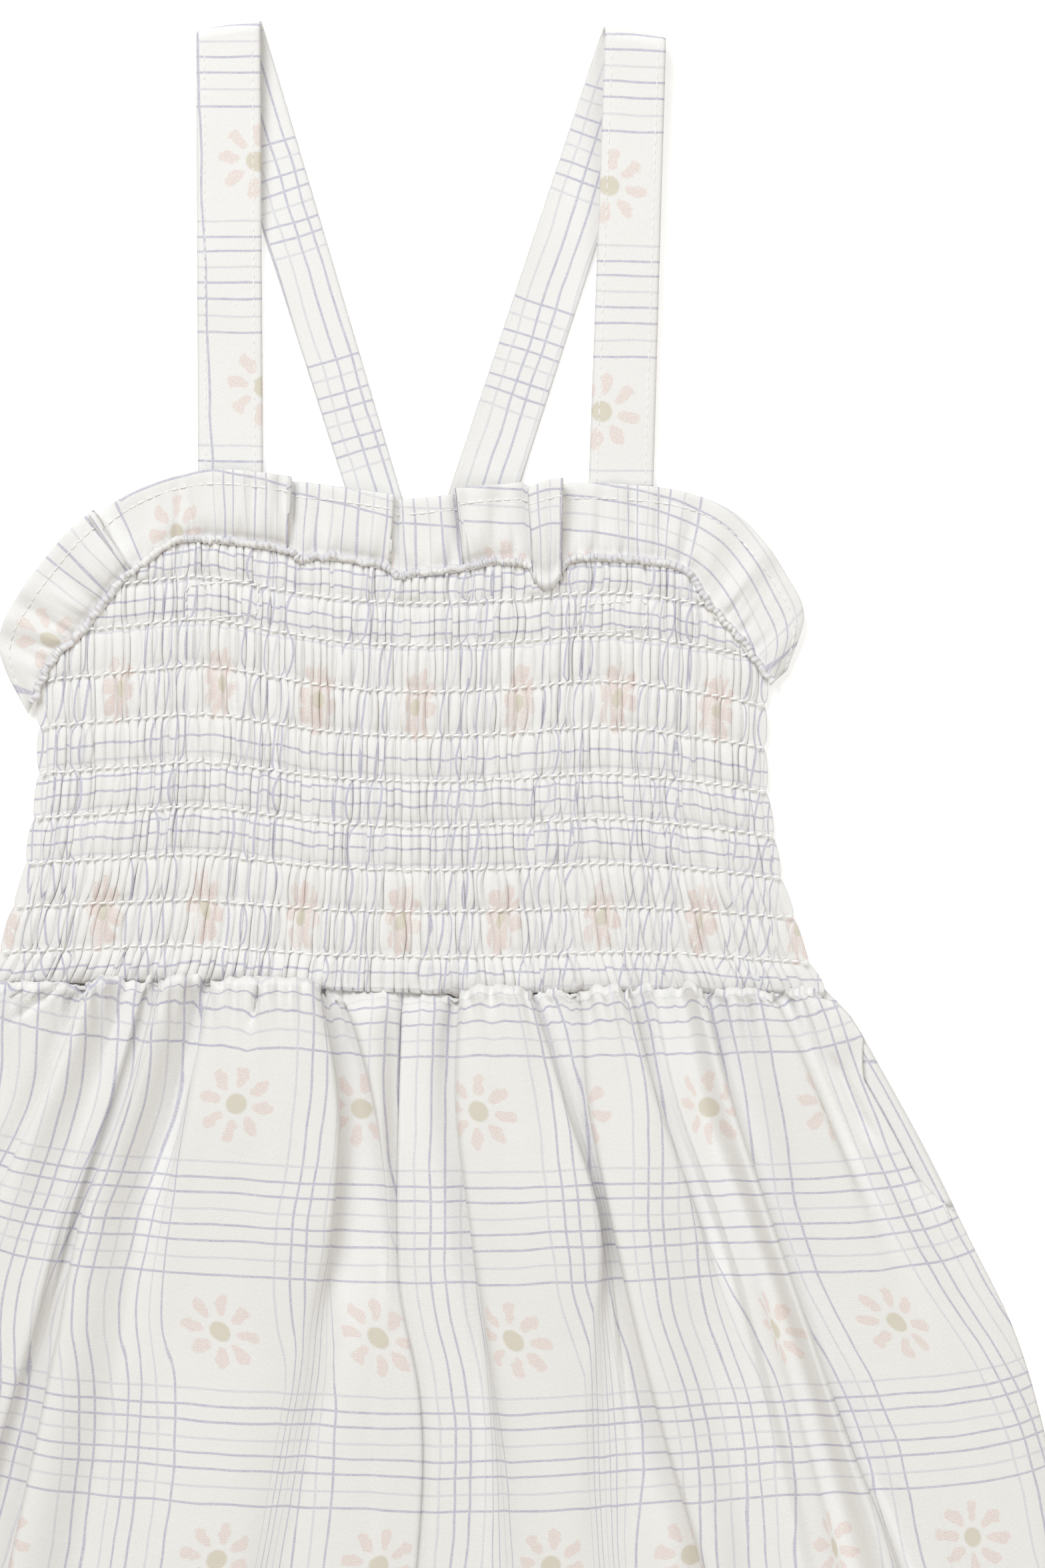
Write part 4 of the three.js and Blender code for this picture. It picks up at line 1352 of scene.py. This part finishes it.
def strap_path(side):
    """Rows of points of a strap, with the place across it and the distance from its fold."""
    made = STRAPS[side]
    fold, back_end = np.array(made["fold"]), np.array(made["back_end"])
    down = np.array(made["front_end"]) - fold
    front_length = np.linalg.norm(down)
    down /= front_length
    back = unit(back_end - fold)
    crease = back - down
    crease *= np.sign(crease[0]) / np.linalg.norm(crease)
    over = np.array([-crease[1], crease[0]])
    right = np.array([-down[1], down[0]])
    radius = made["radius"]
    front_z = STRAP_REST + 2 * radius
    bend = math.pi * radius
    front_width, fold_width, back_width = made["widths"]
    back_length = np.linalg.norm(back_end - fold) + bend
    margin = fold_width * 0.1

    def wrap(along, across):
        """A point of the strap, folded back where it passes the crease."""
        flat = fold - down * along + right * across
        beyond = float(np.dot(flat - fold, over))
        if beyond <= 0:
            share = min(max(-beyond / front_length, 0), 1)
            return [*flat, between(front_z, FRONT_UNDER + 0.6, share)]
        line = flat - over * beyond
        if beyond >= bend:
            return [*(line + over * (bend - beyond)), STRAP_REST]
        reach = radius * math.sin(beyond / radius)
        return [*(line + over * reach), front_z - radius + radius * math.cos(beyond / radius)]

    def stop(layer, t, across):
        """Distance from the crease, t of the way up the front, over the fold or down the back."""
        if layer == "front":
            return -front_length + (front_length - margin) * t
        if layer == "fold":
            return -margin + (bend + 2 * margin) * t
        start = wrap(bend + margin, across)[1]
        end = bend + margin + (start - back_end[1]) / (start - wrap(bend + margin + 1, across)[1])
        return bend + margin + (end - bend - margin) * t

    stops = [("front", t) for t in np.linspace(0, 1, 50)[:-1]]
    stops += [("fold", t) for t in np.linspace(0, 1, 26)[:-1]]
    stops += [("back", t) for t in np.linspace(0, 1, 50)]
    points, uv = [], []
    for layer, t in stops:
        along = stop(layer, t, 0)
        if along > 0:
            width = fold_width + (back_width - fold_width) * along / back_length
        else:
            width = fold_width + (front_width - fold_width) * min(max(-along / front_length, 0), 1)
        places = [share * width for share in np.linspace(-0.5, 0.5, STRAP_COLUMNS)]
        points.append([wrap(stop(layer, t, across), across) for across in places])
        uv.append([(across, stop(layer, t, across)) for across in places])
    return np.array(points), np.array(uv)


def strap(side):
    """One strap: a pressed tube of cloth, topstitched along both edges."""
    made = STRAPS[side]
    points, lie = strap_path(side)
    across, along = lie[..., 0], lie[..., 1]
    from_edge = np.abs(across).max(axis=1, keepdims=True) - np.abs(across)
    edge = 0.42 * bell(from_edge, 0.7)
    stitched = 0.14 * bell(from_edge - STRAP_STITCH, 0.35)
    wave = ripple(across, along, 60, 55, made["seed"]) * 0.22
    shaped = points + sheet_normals(points) * (0.5 - edge - stitched + wave)[..., None]
    shaped = shaped[::-1]

    daisy_across, daisy_height = made["daisy"]
    v = daisy_height - (made["fold"][1] + along)
    u = across - daisy_across - made["slant"] * v
    outside = np.dstack([u, v])[::-1]
    inside = np.dstack([across + made["inside_line"], v + made["inside_slip"]])[::-1]
    piece = cloth_grid(f"strap_band_{side}", shaped, outside, 1.0 * MM, inside_uv=inside)
    middle = STRAP_COLUMNS // 2
    length = float(np.abs(along[0, middle] - along[-1, middle])) * MM
    dress(piece, [f"strap_{side}"], points=points, flat=(STRAP_CUT, length), held="folded")
    return shaped


def strap_runs(points):
    """The two rows of topstitching on a strap."""
    raised = points + sheet_normals(points[::-1])[::-1] * 0.06
    return [raised[::2, column] for column in (2, -3)]


def sew(name, runs, thick=0.5, skew=0.0, step=None):
    """Stitches along runs of points, each run a list of points in garment millimetres."""
    step = step or bpy.context.scene.garment.stitch / MM
    lows, highs = [], []
    for run in runs:
        run = np.asarray(run, float)
        lengths = np.concatenate([[0], np.cumsum(np.linalg.norm(np.diff(run, axis=0), axis=1))])
        count = max(1, round(lengths[-1] / step))
        ends = np.linspace(0, lengths[-1], count + 1)
        at = np.stack([np.interp(ends, lengths, run[:, i]) for i in range(3)], 1)
        lows.append(at[:-1])
        highs.append(at[1:])
    low, high = np.concatenate(lows), np.concatenate(highs)
    size = np.linalg.norm(high - low, axis=1, keepdims=True)
    ahead = (high - low) / size
    ahead = unit(ahead + skew * np.cross([0, 0, 1], ahead))
    side = unit(np.cross([0, 0, 1], ahead))
    up = np.cross(ahead, side)

    # One stitch, copied for all of them
    bpy.ops.object.select_all(action="DESELECT")
    bpy.ops.mesh.primitive_uv_sphere_add(segments=6, ring_count=4, radius=0.5)
    piece = bpy.context.object
    piece.name = name
    piece.data.name = name
    one = len(piece.data.vertices)
    bpy.ops.object.modifier_add(type="ARRAY")
    piece.modifiers["Array"].count = len(low)
    piece.modifiers["Array"].use_relative_offset = False
    bpy.ops.object.modifier_apply(modifier="Array")
    start = np.empty(len(piece.data.vertices) * 3)
    piece.data.vertices.foreach_get("co", start)
    shape = start.reshape(len(low), one, 3)

    # Each copy drawn out along its own stitch
    axes = ((2, size * 0.86, ahead), (0, thick, side), (1, thick * 0.8, up))
    moved = ((low + high) / 2)[:, None]
    for axis, much, way in axes:
        moved = moved + shape[..., axis:axis + 1] * (much * way)[:, None]
    piece.data.vertices.foreach_set("co", place(moved).ravel())
    piece.data.update()
    bpy.ops.object.shade_smooth()
    dress(piece, material="sewing thread")


def height_on(name, x, y):
    """Height of a piece's upper side at a place, in garment millimetres."""
    mesh = bpy.data.objects[name].data
    vertices = np.empty(len(mesh.vertices) * 3)
    mesh.vertices.foreach_get("co", vertices)
    vertices = vertices.reshape(-1, 3) / MM
    away = np.hypot(vertices[:, 0] - x, vertices[:, 1] - WAIST - y)
    return float(vertices[away < 0.9, 2].max())


class StageOperator(bpy.types.Operator):
    """Adds the floor, the lights and the camera that looks straight down."""

    bl_idname = "jumpsuit.stage"
    bl_label = "Stage"

    def execute(self, context):
        stage = context.scene.stage
        scene = context.scene
        scene.view_settings.view_transform = "Standard"
        scene.view_settings.look = "None"
        scene.world = bpy.data.worlds.new("soft light")
        scene.world.use_nodes = True
        background = scene.world.node_tree.nodes["Background"]
        background.inputs["Color"].default_value = WORLD_COLOUR
        background.inputs["Strength"].default_value = stage.sky

        bpy.ops.object.select_all(action="DESELECT")
        bpy.ops.mesh.primitive_plane_add(size=FLOOR_SIZE)
        floor = context.object
        floor.name = "floor"
        floor.location = (0, 0, FLOOR_Z)
        recipe = Recipe("pale floor", 0.9)
        recipe.surface.inputs["Base Color"].default_value = (0.95, 0.95, 0.95, 1)
        recipe.surface.inputs["Emission Color"].default_value = (1, 1, 1, 1)
        recipe.surface.inputs["Emission Strength"].default_value = 0.3
        floor.data.materials.append(recipe.material)

        x, y, z = VIEW_MIDDLE
        middle = Vector((x * MM, (y + WAIST) * MM, z * MM))
        bpy.ops.object.camera_add(location=middle + Vector((0, 0, CAMERA_HEIGHT)), rotation=(0, 0, 0))
        camera = context.object
        camera.data.sensor_width = SENSOR
        camera.data.lens = SENSOR * CAMERA_HEIGHT / stage.view_height
        camera.data.clip_end = 50
        scene.camera = camera
        for name, where, share, size in LAMPS:
            bpy.ops.object.light_add(type="AREA", location=where)
            lamp = context.object
            lamp.name = name
            lamp.data.energy = stage.lamp * share
            lamp.data.size = size
            lamp.data.color = LAMP_COLOUR
            lamp.rotation_euler = (Vector(LAMP_AIM) - Vector(where)).to_track_quat("-Z", "Y").to_euler()
        return {"FINISHED"}


class ClothsOperator(bpy.types.Operator):
    """Mixes the printed cotton and the sewing thread."""

    bl_idname = "jumpsuit.cloths"
    bl_label = "Cloth and thread"

    def execute(self, context):
        printed_cotton(context.scene.garment, "printed cotton", gathered=False)
        printed_cotton(context.scene.garment, "gathered print", gathered=True)
        sewing_thread(context.scene.garment)
        return {"FINISHED"}


class LegsOperator(bpy.types.Operator):
    """Makes the fronts and backs of the two legs, and the pocket."""

    bl_idname = "jumpsuit.legs"
    bl_label = "Legs and pocket"

    def execute(self, context):
        for side in LEGS:
            leg_back(side)
            leg_front(side, context.scene.garment)
        pocket(context.scene.garment)
        tack = [(x, y, height_on("front_leg_right", x, y) + 0.1) for x, y in BAR_TACK]
        sew("pocket_bar_tack", [tack], thick=1.3, step=0.5)
        return {"FINISHED"}


class BodiceOperator(bpy.types.Operator):
    """Makes the smocked front with its shirring threads, and the back."""

    bl_idname = "jumpsuit.bodice"
    bl_label = "Bodice"

    def execute(self, context):
        bodice_back()
        rolled_edge()
        points = bodice_front(context.scene.garment)
        sew("shirring_threads", shirring_runs(points), thick=0.78, skew=0.22)
        sew("strap_box_stitches", strap_boxes())
        return {"FINISHED"}


class RuffleOperator(bpy.types.Operator):
    """Makes the ruffle and the stitches along its hem."""

    bl_idname = "jumpsuit.ruffle"
    bl_label = "Ruffle"

    def execute(self, context):
        row = ruffle(context.scene.garment)
        sew("ruffle_hem_stitches", [row[2:-1] + [0, 0, 0.16]], thick=0.42)
        return {"FINISHED"}


class StrapsOperator(bpy.types.Operator):
    """Makes the two straps and their topstitching."""

    bl_idname = "jumpsuit.straps"
    bl_label = "Straps"

    def execute(self, context):
        runs = []
        for side in STRAPS:
            runs += strap_runs(strap(side))
        sew("strap_stitches", runs, thick=0.36)
        return {"FINISHED"}


class JumpsuitPanel(bpy.types.Panel):
    """Lists the steps that make the jumpsuit."""

    bl_idname = "VIEW3D_PT_jumpsuit"
    bl_label = "Baby jumpsuit"
    bl_space_type = "VIEW_3D"
    bl_region_type = "UI"
    bl_category = "Jumpsuit"

    def draw(self, context):
        layout = self.layout
        for step in STEPS:
            layout.operator(step.bl_idname)
        for group in (context.scene.garment, context.scene.stage):
            for name in group.__annotations__:
                layout.prop(group, name)


STEPS = (StageOperator, ClothsOperator, LegsOperator, BodiceOperator, RuffleOperator, StrapsOperator)
CLASSES = (GarmentSettings, StageSettings, *STEPS, JumpsuitPanel)


def register():
    """Adds the classes and their settings to Blender."""
    for made in CLASSES:
        bpy.utils.register_class(made)
    bpy.types.Scene.garment = PointerProperty(type=GarmentSettings)
    bpy.types.Scene.stage = PointerProperty(type=StageSettings)


def unregister():
    """Takes them out again."""
    del bpy.types.Scene.garment
    del bpy.types.Scene.stage
    for made in reversed(CLASSES):
        bpy.utils.unregister_class(made)


def main():
    """Makes the whole jumpsuit."""
    register()
    bpy.ops.jumpsuit.stage()
    bpy.ops.jumpsuit.cloths()
    bpy.ops.jumpsuit.legs()
    bpy.ops.jumpsuit.bodice()
    bpy.ops.jumpsuit.ruffle()
    bpy.ops.jumpsuit.straps()


if __name__ == "__main__":
    main()
